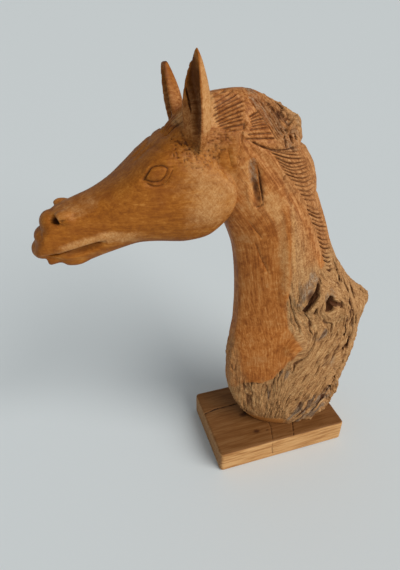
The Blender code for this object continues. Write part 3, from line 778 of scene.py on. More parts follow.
def carve(thing, strokes, blade=GOUGE):
    """Works laid strokes into the skin, and returns how deep each point was cut, in metres."""
    points = mesh_points(thing.data)
    normals = mesh_normals(thing.data)
    raised = np.zeros(len(points))
    cut = np.zeros(len(points))
    way = np.zeros((len(points), 3))
    for line, half_width, depth, ends in strokes:
        near, share, outwards = stroke_share(points, line, half_width, ends, blade)
        push = share * depth * MM
        raised[near] = np.minimum(raised[near], push)
        deeper = push > cut[near]
        cut[near[deeper]] = push[deeper]
        way[near[deeper]] = outwards[deeper]
    set_points(thing.data, points - normals * raised[:, None] - way * cut[:, None])
    return cut


def carried(marked, values, points):
    """Values at the marked points, carried over to other points; 0 away from them."""
    spots = KDTree(len(marked))
    for index, spot in enumerate(marked):
        spots.insert(spot, index)
    spots.balance()
    low, high = marked.min(0) - CARRY_REACH, marked.max(0) + CARRY_REACH
    found = np.zeros(len(points))
    for index in np.flatnonzero(np.all((points > low) & (points < high), axis=1)):
        _, nearest, gap = spots.find(points[index])
        found[index] = values[nearest] if gap < CARRY_REACH else 0
    return found


def both_sides(strokes):
    return [(side, *stroke) for stroke in strokes for side in (-1, 1)]


def roughing_strokes():
    strokes = both_sides(FACE_ROUGHING + BACK_CRACKS)
    strokes += [(-1, *stroke) for stroke in NEAR_ROUGHING]
    strokes += [(1, *stroke) for stroke in FAR_ROUGHING]
    strokes += [(0, *stroke) for stroke in CREST_STROKES]
    return strokes


def detail_strokes():
    strokes = list(FACE_DETAIL) + list(NECK_DETAIL)
    for fan in (*MANE_FANS, FLOW_FAN, RAW_STRIP_FAN):
        strokes += fan_strokes(*fan)
    return both_sides(strokes) + [
        (0, *stroke) for stroke in (*fan_strokes(*FORELOCK_FAN), ear_slit(*NEAR_EAR))
    ]


def grain_places(points, pith):
    """Where each point lies in the wood: outwards and sideways from its pith, and along it."""
    line = smooth_rows(pith, PITH_STEPS) * MM
    profile = points[:, (0, 2)]
    lengths = np.concatenate([[0], np.cumsum(np.linalg.norm(np.diff(line, axis=0), axis=1))])
    gap = np.full(len(points), np.inf)
    places = np.zeros((len(points), 3))
    places[:, 1] = points[:, 1]
    for index, (start, end) in enumerate(zip(line, line[1:])):
        step = end - start
        length = np.linalg.norm(step)
        ahead = step / length
        part = np.clip((profile - start) @ ahead / length, 0, 1)
        away = profile - start - part[:, None] * step
        distance = np.linalg.norm(away, axis=1)
        closer = distance < gap
        gap[closer] = distance[closer]
        outwards = away @ np.array((ahead[1], -ahead[0]))
        places[closer, 0] = outwards[closer]
        places[closer, 2] = (lengths[index] + part * length)[closer]
    x = points[:, 0] / MM
    leaning = eased(x, *GRAIN_LEAN_START) * (1 - eased(x, *GRAIN_LEAN_END))
    places[:, 0] -= GRAIN_LEAN * leaning * np.minimum(0, points[:, 2] - GRAIN_LEAN_TOP * MM)
    for knot_x, knot_z, radius in KNOTS:
        aside, below = points[:, 0] - knot_x * MM, points[:, 2] - knot_z * MM
        area = (radius * MM) ** 2
        spread = aside * aside + KNOT_LENGTH * below * below
        places[:, 0] -= aside * area / np.maximum(spread, area)
    return places


def heart_share(points):
    """1 in the polished heartwood, 0 in the raw sapwood at the back and the foot."""
    edge = np.array(HEART_EDGE, float) * MM
    edge = edge[np.argsort(edge[:, 1])]
    wander = HEART_WANDER * speckle_mm(points, *HEART_WANDERS)
    front = np.interp(points[:, 2] + wander, edge[:, 1], edge[:, 0]) + wander / 2
    return eased(front - points[:, 0], *HEART_SOFTNESS)


def near_place(points, x, z, radius):
    """1 at a place of the profile, fading to 0 at the radius."""
    gap = np.hypot(points[:, 0] - x * MM, points[:, 2] - z * MM) / (radius * MM)
    return 1 - eased(gap, PLACE_CORE, 1.0)


def near_line(points, line, reach):
    """1 along a line of the profile, fading to 0 at the reach, in millimetres."""
    line = np.array(line, float) * MM
    profile = points[:, (0, 2)]
    gap = np.full(len(points), np.inf)
    for start, end in zip(line, line[1:]):
        step = end - start
        part = np.clip((profile - start) @ step / (step @ step), 0, 1)
        gap = np.minimum(gap, np.linalg.norm(profile - start - part[:, None] * step, axis=1))
    return 1 - eased(gap / (reach * MM), LINE_CORE, 1.0)


# Where a mix node has its share, its two colours and its result.
MIX_SHARE = 0
MIX_FIRST = 6
MIX_SECOND = 7
MIX_RESULT = 2


class Value:
    """A socket of a finish, with the sums that finishes use."""

    def __init__(self, finish, socket):
        self.finish = finish
        self.socket = socket

    def sum_of(self, operation, first, second):
        return self.finish.node("ShaderNodeMath", {"operation": operation}, {0: first, 1: second})

    def __add__(self, other):
        return self.sum_of("ADD", self, other)

    __radd__ = __add__

    def __sub__(self, other):
        return self.sum_of("SUBTRACT", self, other)

    def __rsub__(self, other):
        return self.sum_of("SUBTRACT", other, self)

    def __mul__(self, other):
        return self.sum_of("MULTIPLY", self, other)

    __rmul__ = __mul__


class Finish:
    """One material, whose look is written down as sums of its marks and noises."""

    def __init__(self, name):
        self.material = bpy.data.materials.new(name)
        self.material.use_nodes = True
        self.tree = self.material.node_tree
        self.shader = self.tree.nodes["Principled BSDF"]

    def feed(self, socket, value):
        if isinstance(value, Value):
            self.tree.links.new(value.socket, socket)
        else:
            socket.default_value = value

    def node(self, kind, settings=(), sockets=(), output=0):
        """Adds a node: its settings first, then the values or links of its sockets."""
        made = self.tree.nodes.new(kind)
        for name, value in dict(settings).items():
            if name == "stops":
                stops = made.color_ramp.elements
                for place, colour in value[len(stops):]:
                    stops.new(place)
                for stop, (place, colour) in zip(stops, value):
                    stop.position = place
                    stop.color = (*colour, 1)
            else:
                setattr(made, name, value)
        for name, value in dict(sockets).items():
            self.feed(made.inputs[name], value)
        return Value(self, made.outputs[output])

    def mark(self, name, output="Fac"):
        return self.node("ShaderNodeAttribute", {"attribute_name": name}, output=output)

    def stretched(self, place, by):
        return self.node("ShaderNodeVectorMath", {"operation": "MULTIPLY"}, {0: place, 1: by})

    def noise(self, place, scale, detail, roughness, warp=0.0):
        return self.node(
            "ShaderNodeTexNoise",
            {},
            {"Vector": place, "Scale": scale, "Detail": detail, "Roughness": roughness,
             "Distortion": warp},
        )

    def scratches(self, place, lean_deg, scale):
        """Straight fine scratches that lean in the profile."""
        leaning = self.node(
            "ShaderNodeVectorRotate",
            {"rotation_type": "Y_AXIS"},
            {"Vector": place, "Angle": math.radians(lean_deg)},
        )
        return self.noise(self.stretched(leaning, SCRATCH_STRETCH), scale, *SCRATCH_NOISE)

    def slope(self, value, low, high):
        """0 below low, 1 above high, and a soft slope between them."""
        return self.node(
            "ShaderNodeMapRange",
            {"interpolation_type": "SMOOTHSTEP"},
            {"Value": value, "From Min": low, "From Max": high},
        )

    def ramp(self, value, *stops):
        return self.node("ShaderNodeValToRGB", {"stops": stops}, {"Fac": value})

    def mix(self, share, first, second):
        """The first colour, with a share of the second laid over it."""
        first, second = [
            colour if isinstance(colour, Value) else (*colour, 1) for colour in (first, second)
        ]
        return self.node(
            "ShaderNodeMix",
            {"data_type": "RGBA"},
            {MIX_SHARE: share, MIX_FIRST: first, MIX_SECOND: second},
            MIX_RESULT,
        )

    def bump(self, height, depth, strength):
        sockets = {"Height": height, "Distance": depth, "Strength": strength}
        return self.node("ShaderNodeBump", {}, sockets)

    def wear(self, colour, roughness, normal):
        self.feed(self.shader.inputs["Base Color"], colour)
        self.feed(self.shader.inputs["Roughness"], roughness)
        self.feed(self.shader.inputs["Normal"], normal)
        return self.material


# The colours of each kind of wood, from its darkest to its lightest figure.
OILED = (
    (0.0, (0.215, 0.062, 0.007)),
    (0.45, (0.305, 0.096, 0.010)),
    (0.8, (0.375, 0.130, 0.017)),
    (1.0, (0.455, 0.184, 0.034)),
)
THROAT = (
    (0.0, (0.230, 0.062, 0.009)),
    (0.4, (0.388, 0.124, 0.022)),
    (0.75, (0.485, 0.182, 0.042)),
    (1.0, (0.580, 0.262, 0.084)),
)
CHISELLED = (
    (0.0, (0.190, 0.058, 0.013)),
    (0.5, (0.370, 0.140, 0.038)),
    (1.0, (0.550, 0.265, 0.098)),
)
RAW = (
    (0.0, (0.155, 0.066, 0.020)),
    (0.35, (0.325, 0.155, 0.056)),
    (0.7, (0.450, 0.240, 0.095)),
    (1.0, (0.590, 0.360, 0.165)),
)
WEATHERED = (
    (0.0, (0.060, 0.032, 0.018)),
    (0.35, (0.155, 0.090, 0.052)),
    (0.7, (0.265, 0.170, 0.102)),
    (1.0, (0.385, 0.270, 0.175)),
)
# Pale bare wood, also used for the painted highlights.
BARE_AND_HIGHLIT = (
    (0.0, (0.400, 0.172, 0.048)),
    (0.5, (0.510, 0.250, 0.086)),
    (1.0, (0.620, 0.350, 0.145)),
)
BOARD_TOP = (
    (0.0, (0.150, 0.057, 0.015)),
    (0.5, (0.192, 0.079, 0.023)),
    (1.0, (0.238, 0.110, 0.038)),
)
BOARD_SIDE = (
    (0.0, (0.330, 0.145, 0.045)),
    (0.45, (0.490, 0.250, 0.090)),
    (1.0, (0.610, 0.350, 0.145)),
)
# What darkens the wood in spots: smudges, fresh sawn wood, pores, stippling, and the painted shade
# of hollows.
SMUDGED = (0.205, 0.054, 0.008)
SAWN = (0.400, 0.150, 0.030)
PORE = (0.150, 0.048, 0.010)
STIPPLED = (0.20, 0.070, 0.014)
PAINTED_HOLLOW_SHADE = (0.065, 0.017, 0.004)
BOARD_KNOT = (0.07, 0.024, 0.008)
# The board's cracks are painted dark as shade.
PAINTED_CRACK_SHADE = (0.04, 0.015, 0.006)
# How far the carving's noises are drawn out along its grain, and the board's along X.
FIBRE_STRETCH = (1.0, 1.0, 0.07)
SHORT_FIBRE_STRETCH = (1.0, 1.0, 0.16)
BOARD_FIBRE_STRETCH = (0.07, 1.0, 1.0)
BOARD_SHORT_STRETCH = (0.13, 1.0, 1.0)
# The noises of the wood: scale, detail, roughness and warp.
STREAK = (420, 4, 0.6, 0.15)
RAGGED = (330, 4, 0.7, 1.1)
FINE = (1300, 2, 0.6)
BROAD = (75, 3, 0.55, 0.5)
PORES = (1100, 2, 0.6)
MOTTLE = (520, 4, 0.7)
CLOUDS = (150, 4, 0.65, 0.6)
SMUDGE = (28, 3, 0.6, 0.3)
BOARD_STREAK = (360, 4, 0.6, 0.3)
BOARD_BROAD = (60, 3, 0.5, 2.2)
BOARD_FINE = (900, 2, 0.6)
# A rasp has left scratches that lean both ways.
SCRATCH_STRETCH = (1.0, 1.0, 0.08)
SCRATCH_NOISE = (3, 0.6, 0.1)
SCRATCH_SCALE = 700
SCRATCH_LEANS_DEG = (40, -35)
# The part of a figure's noise that makes up its whole range of colours.
FIGURE_RANGE = (0.36, 0.64)
RAW_RANGE = (0.37, 0.63)
CUT_RANGE = (0.38, 0.62)
# Oiled wood shines a little; its fibres stand up by less than a millimetre.
WOOD_SHINE = 0.12
FIBRE_RELIEF = 0.9 * MM
BOARD_RELIEF = 0.6 * MM


def driftwood_finish():
    """Oiled heartwood on the carved face and throat, raw sapwood and grey weather behind."""
    wood = Finish("carved_driftwood")
    grain = wood.mark("grain", "Vector")
    heart = wood.mark("heart")
    grey = wood.mark("grey")
    hollow = wood.mark("hollow")
    pale = wood.mark("pale")
    stipple = wood.mark("stipple")
    fresh = wood.mark("fresh")
    mane = wood.mark("mane")
    neck = wood.mark("neck")
    place = wood.node("ShaderNodeTexCoord", output="Object")
    fibres = wood.stretched(grain, FIBRE_STRETCH)
    short_fibres = wood.stretched(grain, SHORT_FIBRE_STRETCH)
    streak = wood.noise(fibres, *STREAK)
    ragged = wood.noise(fibres, *RAGGED)
    fine = wood.noise(fibres, *FINE)
    broad = wood.noise(short_fibres, *BROAD)
    pores = wood.noise(short_fibres, *PORES)
    mottle = wood.noise(grain, *MOTTLE)
    clouds = wood.noise(grain, *CLOUDS)
    smudge = wood.noise(grain, *SMUDGE)
    one_way, other_way = [
        wood.scratches(place, lean, SCRATCH_SCALE) for lean in SCRATCH_LEANS_DEG
    ]
    rasped = 0.5 * one_way + 0.5 * other_way
    figure = wood.slope(0.26 * streak + 0.24 * broad + 0.2 * fine + 0.3 * clouds, *FIGURE_RANGE)
    throat_figure = wood.slope(
        0.35 * streak + 0.25 * clouds + 0.3 * smudge + 0.1 * mottle, *CUT_RANGE)
    cut_figure = wood.slope(0.4 * streak + 0.3 * mottle + 0.3 * clouds, *CUT_RANGE)
    raw_figure = wood.slope(
        0.3 * ragged + 0.35 * mottle + 0.15 * fine + 0.2 * clouds, *RAW_RANGE)
    grey_figure = wood.slope(0.6 * streak + 0.4 * mottle, *FIGURE_RANGE)
    pale_figure = wood.slope(0.4 * mottle + 0.3 * rasped + 0.3 * clouds, *FIGURE_RANGE)
    smudged = wood.slope(smudge, 0.50, 0.70) * (0.5 - 0.25 * neck)
    rubbed_and_highlit = wood.slope(
        pale + 0.3 * (rasped - 0.5) + 0.5 * (clouds - 0.5) + 0.8 * (smudge - 0.5), 0.15, 0.9)
    greyed = wood.slope(grey + 0.9 * (streak - 0.5) + 0.7 * (mottle - 0.5), 0.2, 0.95)
    colour = wood.mix(neck, wood.ramp(figure, *OILED), wood.ramp(throat_figure, *THROAT))
    colour = wood.mix(smudged, colour, SMUDGED)
    colour = wood.mix(heart, wood.ramp(raw_figure, *RAW), colour)
    colour = wood.mix(mane * 0.75, colour, wood.ramp(cut_figure, *CHISELLED))
    # Pale rubbed wood, with painted highlights on the near ear's back and along the nostril's
    # ridge.
    colour = wood.mix(rubbed_and_highlit * 0.8, colour, wood.ramp(pale_figure, *BARE_AND_HIGHLIT))
    colour = wood.mix(greyed, colour, wood.ramp(grey_figure, *WEATHERED))
    colour = wood.mix(fresh * 0.8, colour, SAWN)
    colour = wood.mix(wood.slope(pores, 0.58, 0.72) * 0.3, colour, PORE)
    colour = wood.mix(wood.slope(mottle, 0.50, 0.68) * stipple * 0.7, colour, STIPPLED)
    # Painted shade in hollows, pits, slots and ear cups, on the neck's front and under the lip,
    # with dirt in broken wood.
    colour = wood.mix(wood.slope(hollow, 0.05, 1.0) * 0.9, colour, PAINTED_HOLLOW_SHADE)
    roughness = 0.70 - 0.20 * heart + 0.14 * grey + 0.2 * (mottle - 0.5)
    height = streak * 0.45 + fine * 0.2 + mottle * 0.25 + rasped * rubbed_and_highlit * 0.5
    wood.shader.inputs["Specular IOR Level"].default_value = WOOD_SHINE
    return wood.wear(colour, roughness, wood.bump(height, FIBRE_RELIEF, 0.6))


def board_finish():
    """Sanded board: brown and dull on top, paler on its sawn sides, and its left end painted partly
    brown as shade.
    """
    wood = Finish("sanded_board")
    place = wood.node("ShaderNodeTexCoord", output="Object")
    upper = wood.mark("upper")
    hollow = wood.mark("hollow")
    knots = wood.mark("knots")
    fibres = wood.stretched(place, BOARD_FIBRE_STRETCH)
    streak = wood.noise(fibres, *BOARD_STREAK)
    broad = wood.noise(wood.stretched(place, BOARD_SHORT_STRETCH), *BOARD_BROAD)
    fine = wood.noise(fibres, *BOARD_FINE)
    figure = wood.slope(0.5 * streak + 0.35 * broad + 0.15 * fine, *FIGURE_RANGE)
    colour = wood.mix(upper, wood.ramp(figure, *BOARD_SIDE), wood.ramp(figure, *BOARD_TOP))
    colour = wood.mix(knots, colour, BOARD_KNOT)
    # The cracks are painted dark as shade.
    colour = wood.mix(wood.slope(hollow, 0.1, 0.8) * 0.85, colour, PAINTED_CRACK_SHADE)
    relief = wood.bump(streak * 0.6 + fine * 0.4, BOARD_RELIEF, 0.35)
    wood.shader.inputs["Specular IOR Level"].default_value = WOOD_SHINE
    return wood.wear(colour, 0.55 + 0.15 * (streak - 0.5), relief)


def worn_lines(grain, size, seed, width):
    """1 in thin wandering lines along the grain, and 0 between them."""
    return np.clip(1 - abs(speckle_mm(grain, size, seed)) / width, 0, 1)


def worn_depth(grain):
    """How weather has worn raw wood, in millimetres: fissures, lumps, and places broken up."""
    crumbled = eased(speckle_mm(grain, *CRUMBLED), *CRUMBLING)
    worn = 1.1 * speckle_mm(grain, *WORN_LUMPS)
    worn += (0.6 + 1.2 * crumbled) * speckle_mm(grain, *WORN_CHIPS)
    worn += 0.5 * speckle_mm(grain, *WORN_FIBRES)
    worn -= (0.3 + 0.8 * crumbled) * worn_lines(grain, *FISSURES)
    return worn - (1.0 + 2.2 * crumbled) * worn_lines(grain, *CRACKS)


class Skin:
    """The carved skin's points, in the wood and on the body, and its places of weather."""

    def __init__(self, mesh):
        self.points = mesh_points(mesh)
        self.x = self.points[:, 0] / MM
        self.y = self.points[:, 1] / MM
        self.z = self.points[:, 2] / MM
        self.near_side = 1 - eased(self.y, *NEAR_HALF)
        self.on_head = eased(-self.x, *HEAD_START)
        self.grain = np.where(
            self.on_head[:, None] > 0.5,
            grain_places(self.points, HEAD_PITH),
            grain_places(self.points, NECK_PITH),
        )
        self.inner = np.maximum(heart_share(self.points), self.on_head)
        self.mane = self.along(*MANE_BED) * eased(self.z - 0.4 * self.x, *MANE_END)
        self.strip = self.along(*RAW_STRIP)
        self.split = self.along(*SPLIT_WOOD)
        self.patches = eased(speckle_mm(self.grain, *GREY_PATCHES), *PATCHY)
        self.broken = eased(sum(speckle_mm(self.points, *dirt) for dirt in DIRT), *DIRTY)
        self.basin = self.along(*CHEEK_HOLLOW) * self.near_side
        self.slot = self.along(*CHEEK_SLOT) * self.near_side
        self.pocket = self.along(*NECK_SLOT) * self.near_side * self.broken
        # The ear is painted a little dark as shade, and its near back pale as a highlight.
        self.on_ear = eased(self.z, *EAR_START) * (self.x < EAR_BACK_END)
        near_ear = ear_inside(self.points, *NEAR_EAR)[0]
        self.lit_ear_back = self.on_ear * (1 - near_ear) * self.near_side

    def along(self, line, reach):
        return near_line(self.points, line, reach)


def grey_weather(skin):
    """Grey wood: the raw strip, the slots, and patches of the sapwood."""
    sapwood = 1 - skin.inner
    grey = skin.strip * (0.42 + 0.3 * skin.patches)
    grey += 0.3 * skin.split * skin.patches + 0.22 * sapwood * skin.patches
    for x, z, radius, strength in GREY_PLACES:
        grey += strength * near_place(skin.points, x, z, radius) * skin.patches * sapwood
    grey += 0.55 * skin.basin + 0.3 * skin.slot * skin.broken + 0.5 * skin.pocket
    return np.clip(grey, 0, 1)


def heartwood(skin):
    """Polished heartwood, with the bark on the chest half raw."""
    return np.maximum(skin.inner, skin.along(*MANE_SIDE)) * (1 - 0.6 * skin.along(*CHEST_BARK))


def sawn_wood(skin):
    """The fresh sawn place low at the front of the foot, on the near side."""
    low_front = (1 - eased(skin.z, *SAWN_UPPER)) * (1 - eased(skin.x, *SAWN_BACK))
    return low_front * (1 - eased(skin.y, *SAWN_INNER))


def rough_weather(skin, heart, fresh):
    """How roughly the wood has weathered: most at the low back corner, less up the neck."""
    x, z = skin.x, skin.z
    leaning_x = x + CALM_BACK_LEAN * (z - CALM_ABOVE[0])
    calm = 0.85 * eased(z, *CALM_ABOVE) * (1 - 0.5 * eased(leaning_x, *CALM_BACK))
    corner = (1 - eased(z, *CORNER_UPPER)) * eased(x, *CORNER_FRONT)
    corner += 0.6 * eased(x, *BACK_FRONT) * (1 - eased(z, *BACK_UPPER))
    raw = np.clip(1 - heart, 0, 1)
    rough = raw * (1 - calm) * (0.85 + 0.75 * corner) * (1 - 0.8 * skin.mane)
    rough = np.clip(rough + 0.2 * skin.strip + 0.7 * skin.split, 0, ROUGHEST)
    return np.maximum(rough, 0.5 * skin.slot) * (1 - fresh) * (1 - 0.7 * skin.basin)


def stippled_wood(skin):
    """The stippled wood round the ear's foot, and the pits in it."""
    stippled = skin.along(*EAR_FOOT) * (1 - eased(skin.z, *EAR_FOOT_END))
    patchy = speckle_mm(skin.points, *STIPPLE_PATCHES) + 2.4 * stippled
    stippled *= eased(patchy, *STIPPLED_FROM)
    return stippled, stippled * eased(speckle_mm(skin.points, *STIPPLE_PITS), *PITTED_FROM)


def lip_bevel(skin):
    """The pale bevel along the upper lip."""
    along, lower, upper = np.array(LIP_BEVEL, float).T
    above_lower = skin.z - np.interp(skin.x, along, lower)
    above_upper = skin.z - np.interp(skin.x, along, upper)
    share = eased(above_lower, *LIP_BEVEL_LOWER) * (1 - eased(above_upper, *LIP_BEVEL_UPPER))
    return share * eased(skin.x, *LIP_BEVEL_START) * (1 - eased(skin.x, *LIP_BEVEL_END))


def pale_wood_and_highlights(skin, heart):
    """Pale rubbed wood on the cheek, lip, nose and the top of the neck, with painted highlights on
    the near ear's back and along the nostril's ridge.
    """
    cheek = eased(skin.x, *CHEEK_FRONT) * (1 - 0.5 * eased(skin.x, *CHEEK_BACK))
    cheek *= eased(skin.z, *CHEEK_LOWER) * (1 - eased(skin.z, *CHEEK_UPPER)) * skin.on_head
    neck_top = skin.along(*NECK_TOP) * heart * (1 - skin.on_head)
    neck_top *= 0.3 + 0.7 * eased(skin.z, *NECK_TOP_RISE)
    pale = 0.46 * cheek + 0.25 * near_place(skin.points, *PALE_JAW) * skin.on_head
    # The near ear's back is a painted highlight.
    pale += 0.7 * lip_bevel(skin) + 0.55 * neck_top * (1 - skin.mane) + 0.9 * skin.lit_ear_back
    pale += 0.35 * near_place(skin.points, *PALE_NOSE)
    for strength, line, reach in PALE_LINES:
        pale += strength * skin.along(line, reach)
    return np.clip(pale, 0, 1)


def painted_shade_and_dirt(skin, groove_shade, fissure_shade, pitted):
    """Painted shade in what is carved or sunk deep, in pits, slots, ear cups, on the ear away from
    its back, on the neck's front and under the upper lip, and dirt in broken wood.
    """
    dusk = sum(skin.along(*place) for place in DARK_WOOD)
    dusk += skin.along(*DARK_KNOT) * skin.near_side
    # Carved grooves, deep fissures and pits are painted dark as shade.
    shade_and_dirt = groove_shade + 0.9 * fissure_shade + 0.6 * pitted
    # The ears' cups are painted dark as shade.
    shade_and_dirt += 0.54 * ear_inside(skin.points, *NEAR_EAR)[1]
    shade_and_dirt += 0.8 * ear_inside(skin.points, *FAR_EAR)[1]
    # The slots are painted dark as shade.
    shade_and_dirt += 0.4 * skin.slot * skin.broken + 0.15 * skin.pocket
    shade_and_dirt += (0.25 * skin.split + 0.35 * dusk) * skin.patches * skin.broken
    # The ear away from its near back, and the neck's front, are painted dark as shade.
    shade_and_dirt += 0.2 * skin.on_ear * (1 - skin.lit_ear_back) + 0.25 * skin.along(*NECK_FRONT_SHADE)
    # The wood under the upper lip is painted dark as shade.
    shade_and_dirt += 0.5 * skin.along(*SHADE_BELOW_LIP)
    mouth = skin.along(*MOUTH) * skin.on_head
    return np.clip(shade_and_dirt, 0, 1) * (1 - 0.5 * mouth) * (1 - 0.2 * skin.mane)


def weather_skin(thing, groove_shade):
    """Works the wood's own surface into the skin, and marks where each kind of wood shows, and
    where shade and highlights are painted.
    """
    mesh = thing.data
    skin = Skin(mesh)
    heart = heartwood(skin)
    fresh = sawn_wood(skin)
    rough = rough_weather(skin, heart, fresh)
    stippled, pitted = stippled_wood(skin)
    wander = [speckle_mm(skin.points, *part) for part in GRAIN_WANDERS]
    wandered = GRAIN_WANDER * np.stack([*wander, np.zeros(len(skin.points))], axis=1)
    worn = worn_depth(skin.grain + wandered)
    planed = speckle_mm(skin.grain, *PLANING)
    height = rough * worn - 1.1 * pitted + 0.22 * heart * planed
    set_points(mesh, skin.points + mesh_normals(mesh) * (height * MM)[:, None])
    # Deep fissures are painted dark as shade.
    fissure_shade = rough * eased(-worn, *SUNK_FROM)
    set_marks(
        mesh,
        grain=skin.grain,
        heart=heart,
        grey=grey_weather(skin),
        hollow=painted_shade_and_dirt(skin, groove_shade, fissure_shade, pitted),
        pale=pale_wood_and_highlights(skin, heart),
        stipple=stippled,
        fresh=fresh,
        mane=skin.mane,
        neck=1 - skin.on_head,
    )


def fewer_faces(thing, triangles):
    thin = thing.modifiers.new("fewer_faces", "DECIMATE")
    thin.ratio = triangles / (2 * len(thing.data.polygons))
    work_in(thing)


def give_finish(thing, material):
    thing.data.shade_smooth()
    thing.data.materials.clear()
    thing.data.materials.append(material)


def cut_foot(thing):
    """Saws the underside flat where the log stands on its board."""
    solid = bmesh.new()
    solid.from_mesh(thing.data)
    whole = list(solid.verts) + list(solid.edges) + list(solid.faces)
    sawn = bmesh.ops.bisect_plane(
        solid, geom=whole, plane_co=(0, 0, FOOT_LEVEL), plane_no=(0, 0, -1), clear_outer=True
    )
    rim = [item for item in sawn["geom_cut"] if isinstance(item, bmesh.types.BMEdge)]
    bmesh.ops.contextual_create(solid, geom=rim)
    solid.to_mesh(thing.data)
    solid.free()


def carved_horse_head():
    horse = log_blank()
    one_skin(horse, ROUGH_VOXEL, SANDING_PASSES)
    rough_cut = carve(horse, laid_strokes(horse, roughing_strokes()))
    deep = rough_cut > SHALLOW * MM
    rough_points = mesh_points(horse.data)[deep]
    one_skin(horse, FINE_VOXEL, FINE_PASSES)
    rough_cut = carried(rough_points, rough_cut[deep], mesh_points(horse.data))
    fine_cut = carve(horse, laid_strokes(horse, detail_strokes()), KNIFE)
    weather_skin(horse, np.maximum(
        eased(rough_cut / MM, SHALLOW, DEEP), eased(fine_cut / MM, *FINE_DARKENS)))
    fewer_faces(horse, HORSE_TRIANGLES)
    cut_foot(horse)
    give_finish(horse, driftwood_finish())
    return horse


# The board's corners and edges, and how finely it is made.
BOARD_CORNER = 6 * MM
BOARD_CORNER_STEPS = 5
BOARD_ROUNDING = 3.5 * MM
BOARD_ROUNDING_STEPS = 4
BOARD_EDGE_DEG = 60
BOARD_VOXEL = 1.0 * MM
BOARD_PASSES = 2
BOARD_TRIANGLES = 60000
# Drying cracks in its top and front: places, half width and depth.
BOARD_TOP_CRACKS = (
    (((-112, 19), (-87, 24), (-49, 24), (-10, 22)), 1.7, 2.6),
    (((-11, -26), (-12, -40), (-22, -70)), 1.0, 1.1),
    (((28, -40), (25, -46), (15, -70)), 1.2, 1.3),
    (((-38, 4), (-31, -6)), 7.0, 2.5),
)
BOARD_FRONT_CRACKS = (
    (((-22, 41), (-21, 23), (-19, 9)), 1.0, 1.1),
)
# The cracks come and go over this size, from and to which chance, and keep this share of
# their depth. A crack is painted black as shade from this depth.
CRACK_BREAKS = (4, 6)
CRACK_WHOLE = (-0.4, 0.2)
CRACK_LEAST = 0.35
CRACK_SHADE_DEPTH = 1.5 * MM
# Knots in the top: place and radius. They are stretched along the grain, and dark within
# this share of their radius.
BOARD_KNOTS = ((-46, -2, 6.5), (-38, -41, 5.0), (-20, -44, 2.0))
BOARD_KNOT_STRETCH = 1.5
BOARD_KNOT_CORE = 0.3
# The sanded wood is a little wavy along its grain: how much, and over what size.
BOARD_WAVE = 0.15 * MM
BOARD_WAVES = ((60, 9, 9), 5)
# What looks up is brown, and what looks to the left is painted partly as brown, as shade.
LOOKS_UP = (0.3, 0.9)
LOOKS_LEFT = (0.4, 0.8)
LEFT_END_SHADE = 0.45


def board_strokes():
    top, front = BOARD_HIGH.z, BOARD_LOW.y
    strokes = [(np.array([(x * MM, y * MM, top, 0, 0, 1) for x, y in line]), width, depth)
               for line, width, depth in BOARD_TOP_CRACKS]
    strokes += [(np.array([(x * MM, front, z * MM, 0, -1, 0) for x, z in line]), width, depth)
                for line, width, depth in BOARD_FRONT_CRACKS]
    return strokes


def board_blank():
    solid = bmesh.new()
    bmesh.ops.create_cube(solid, size=1)
    size = BOARD_HIGH - BOARD_LOW
    middle = (BOARD_HIGH + BOARD_LOW) / 2
    bmesh.ops.transform(
        solid, verts=solid.verts, matrix=Matrix.Translation(middle) @ Matrix.Diagonal((*size, 1))
    )
    upright = [edge for edge in solid.edges if abs(edge.verts[0].co.z - edge.verts[1].co.z) > MM]
    bmesh.ops.bevel(
        solid, geom=upright, offset=BOARD_CORNER, segments=BOARD_CORNER_STEPS, profile=0.5,
        affect="EDGES",
    )
    board = made_object("sanded_board", solid)
    rounding = board.modifiers.new("soft_edges", "BEVEL")
    rounding.width = BOARD_ROUNDING
    rounding.segments = BOARD_ROUNDING_STEPS
    rounding.limit_method = "ANGLE"
    rounding.angle_limit = math.radians(BOARD_EDGE_DEG)
    one_skin(board, BOARD_VOXEL, BOARD_PASSES)
    return board


def carved_board():
    board = board_blank()
    mesh = board.data
    points = mesh_points(mesh)
    normals = mesh_normals(mesh)
    cut = np.zeros(len(points))
    for line, half_width, depth in board_strokes():
        near, share, _ = stroke_share(points, line, half_width, "full")
        cut[near] = np.maximum(cut[near], share * depth * MM)
    whole = eased(speckle_mm(points, *CRACK_BREAKS), *CRACK_WHOLE)
    cut *= CRACK_LEAST + (1 - CRACK_LEAST) * whole
    inwards = -cut - BOARD_WAVE * (1 + speckle_mm(points, *BOARD_WAVES))
    underside = normals[:, 2] < -0.5
    inwards[underside] = 0
    set_points(mesh, points + normals * inwards[:, None])
    knots = np.zeros(len(points))
    for x, y, radius in BOARD_KNOTS:
        gap = np.hypot((points[:, 0] - x * MM) / BOARD_KNOT_STRETCH, points[:, 1] - y * MM)
        knots = np.maximum(knots, 1 - eased(gap, BOARD_KNOT_CORE * radius * MM, radius * MM))
    # The left end is painted partly brown as shade.
    shaded_left_end = eased(-normals[:, 0], *LOOKS_LEFT)
    upper = np.maximum(eased(normals[:, 2], *LOOKS_UP), LEFT_END_SHADE * shaded_left_end)
    set_marks(mesh, upper=upper, hollow=np.clip(cut / CRACK_SHADE_DEPTH, 0, 1), knots=knots * upper)
    fewer_faces(board, BOARD_TRIANGLES)
    give_finish(board, board_finish())
    return board


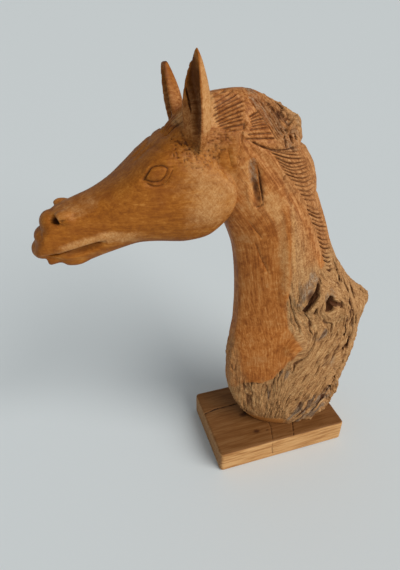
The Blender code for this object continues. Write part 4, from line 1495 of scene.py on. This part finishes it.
# The studio. The camera's angles and focal length are those of the photograph.
CAMERA_PLACE = (-0.2739, -0.4795, 0.6460)
CAMERA_PITCH_DEG = 33.1
CAMERA_YAW_DEG = 17.5
CAMERA_FOCAL_PIXELS = 450
FRAME_HEIGHT_PIXELS = 570
SENSOR_MM = 36
FLOOR_RADIUS = 60
FLOOR_CORNERS = 96
FLOOR_PAINT = (0.70, 0.745, 0.76)
FLOOR_ROUGHNESS = 0.95
FLOOR_SHINE = 0.1
AIR_COLOUR = (0.92, 0.97, 1.0)
AIR_STRENGTH = 0.34
WINDOW_COLOUR = (1.0, 0.975, 0.94)
WINDOW_STRENGTH = 2.75
WINDOW_WIDTH_DEG = 50
WINDOW_FROM = (0.55, -0.75, 0.60)


def studio_floor():
    """A plain pale floor that runs out to the horizon."""
    solid = bmesh.new()
    bmesh.ops.create_circle(solid, cap_ends=True, segments=FLOOR_CORNERS, radius=FLOOR_RADIUS)
    floor = made_object("studio_floor", solid)
    paint = Finish("pale_paint")
    paint.feed(paint.shader.inputs["Base Color"], (*FLOOR_PAINT, 1))
    paint.feed(paint.shader.inputs["Roughness"], FLOOR_ROUGHNESS)
    paint.feed(paint.shader.inputs["Specular IOR Level"], FLOOR_SHINE)
    floor.data.materials.append(paint.material)


def studio_light():
    world = bpy.data.worlds.new("studio_air")
    world.use_nodes = True
    sky = world.node_tree.nodes["Background"]
    sky.inputs["Color"].default_value = (*AIR_COLOUR, 1)
    sky.inputs["Strength"].default_value = AIR_STRENGTH
    bpy.context.scene.world = world
    window = bpy.data.lights.new("window", "SUN")
    window.energy = WINDOW_STRENGTH
    window.angle = math.radians(WINDOW_WIDTH_DEG)
    window.color = WINDOW_COLOUR
    made = bpy.data.objects.new("window", window)
    made.rotation_euler = Vector(WINDOW_FROM).to_track_quat("Z", "Y").to_euler()
    bpy.context.scene.collection.objects.link(made)
    bpy.context.scene.view_settings.view_transform = "Standard"


def photo_camera():
    lens = bpy.data.cameras.new("photo_camera")
    lens.sensor_fit = "VERTICAL"
    lens.sensor_height = SENSOR_MM
    lens.lens = SENSOR_MM * CAMERA_FOCAL_PIXELS / FRAME_HEIGHT_PIXELS
    camera = bpy.data.objects.new("photo_camera", lens)
    camera.location = CAMERA_PLACE
    camera.rotation_euler = (
        math.radians(90 - CAMERA_PITCH_DEG), 0, math.radians(-CAMERA_YAW_DEG)
    )
    bpy.context.scene.collection.objects.link(camera)
    bpy.context.scene.camera = camera


def main():
    photo_camera()
    studio_light()
    studio_floor()
    horse = carved_horse_head()
    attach(horse, "root")
    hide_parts("horse_head")
    board = carved_board()
    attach(board, "root")
    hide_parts("base_board")


main()
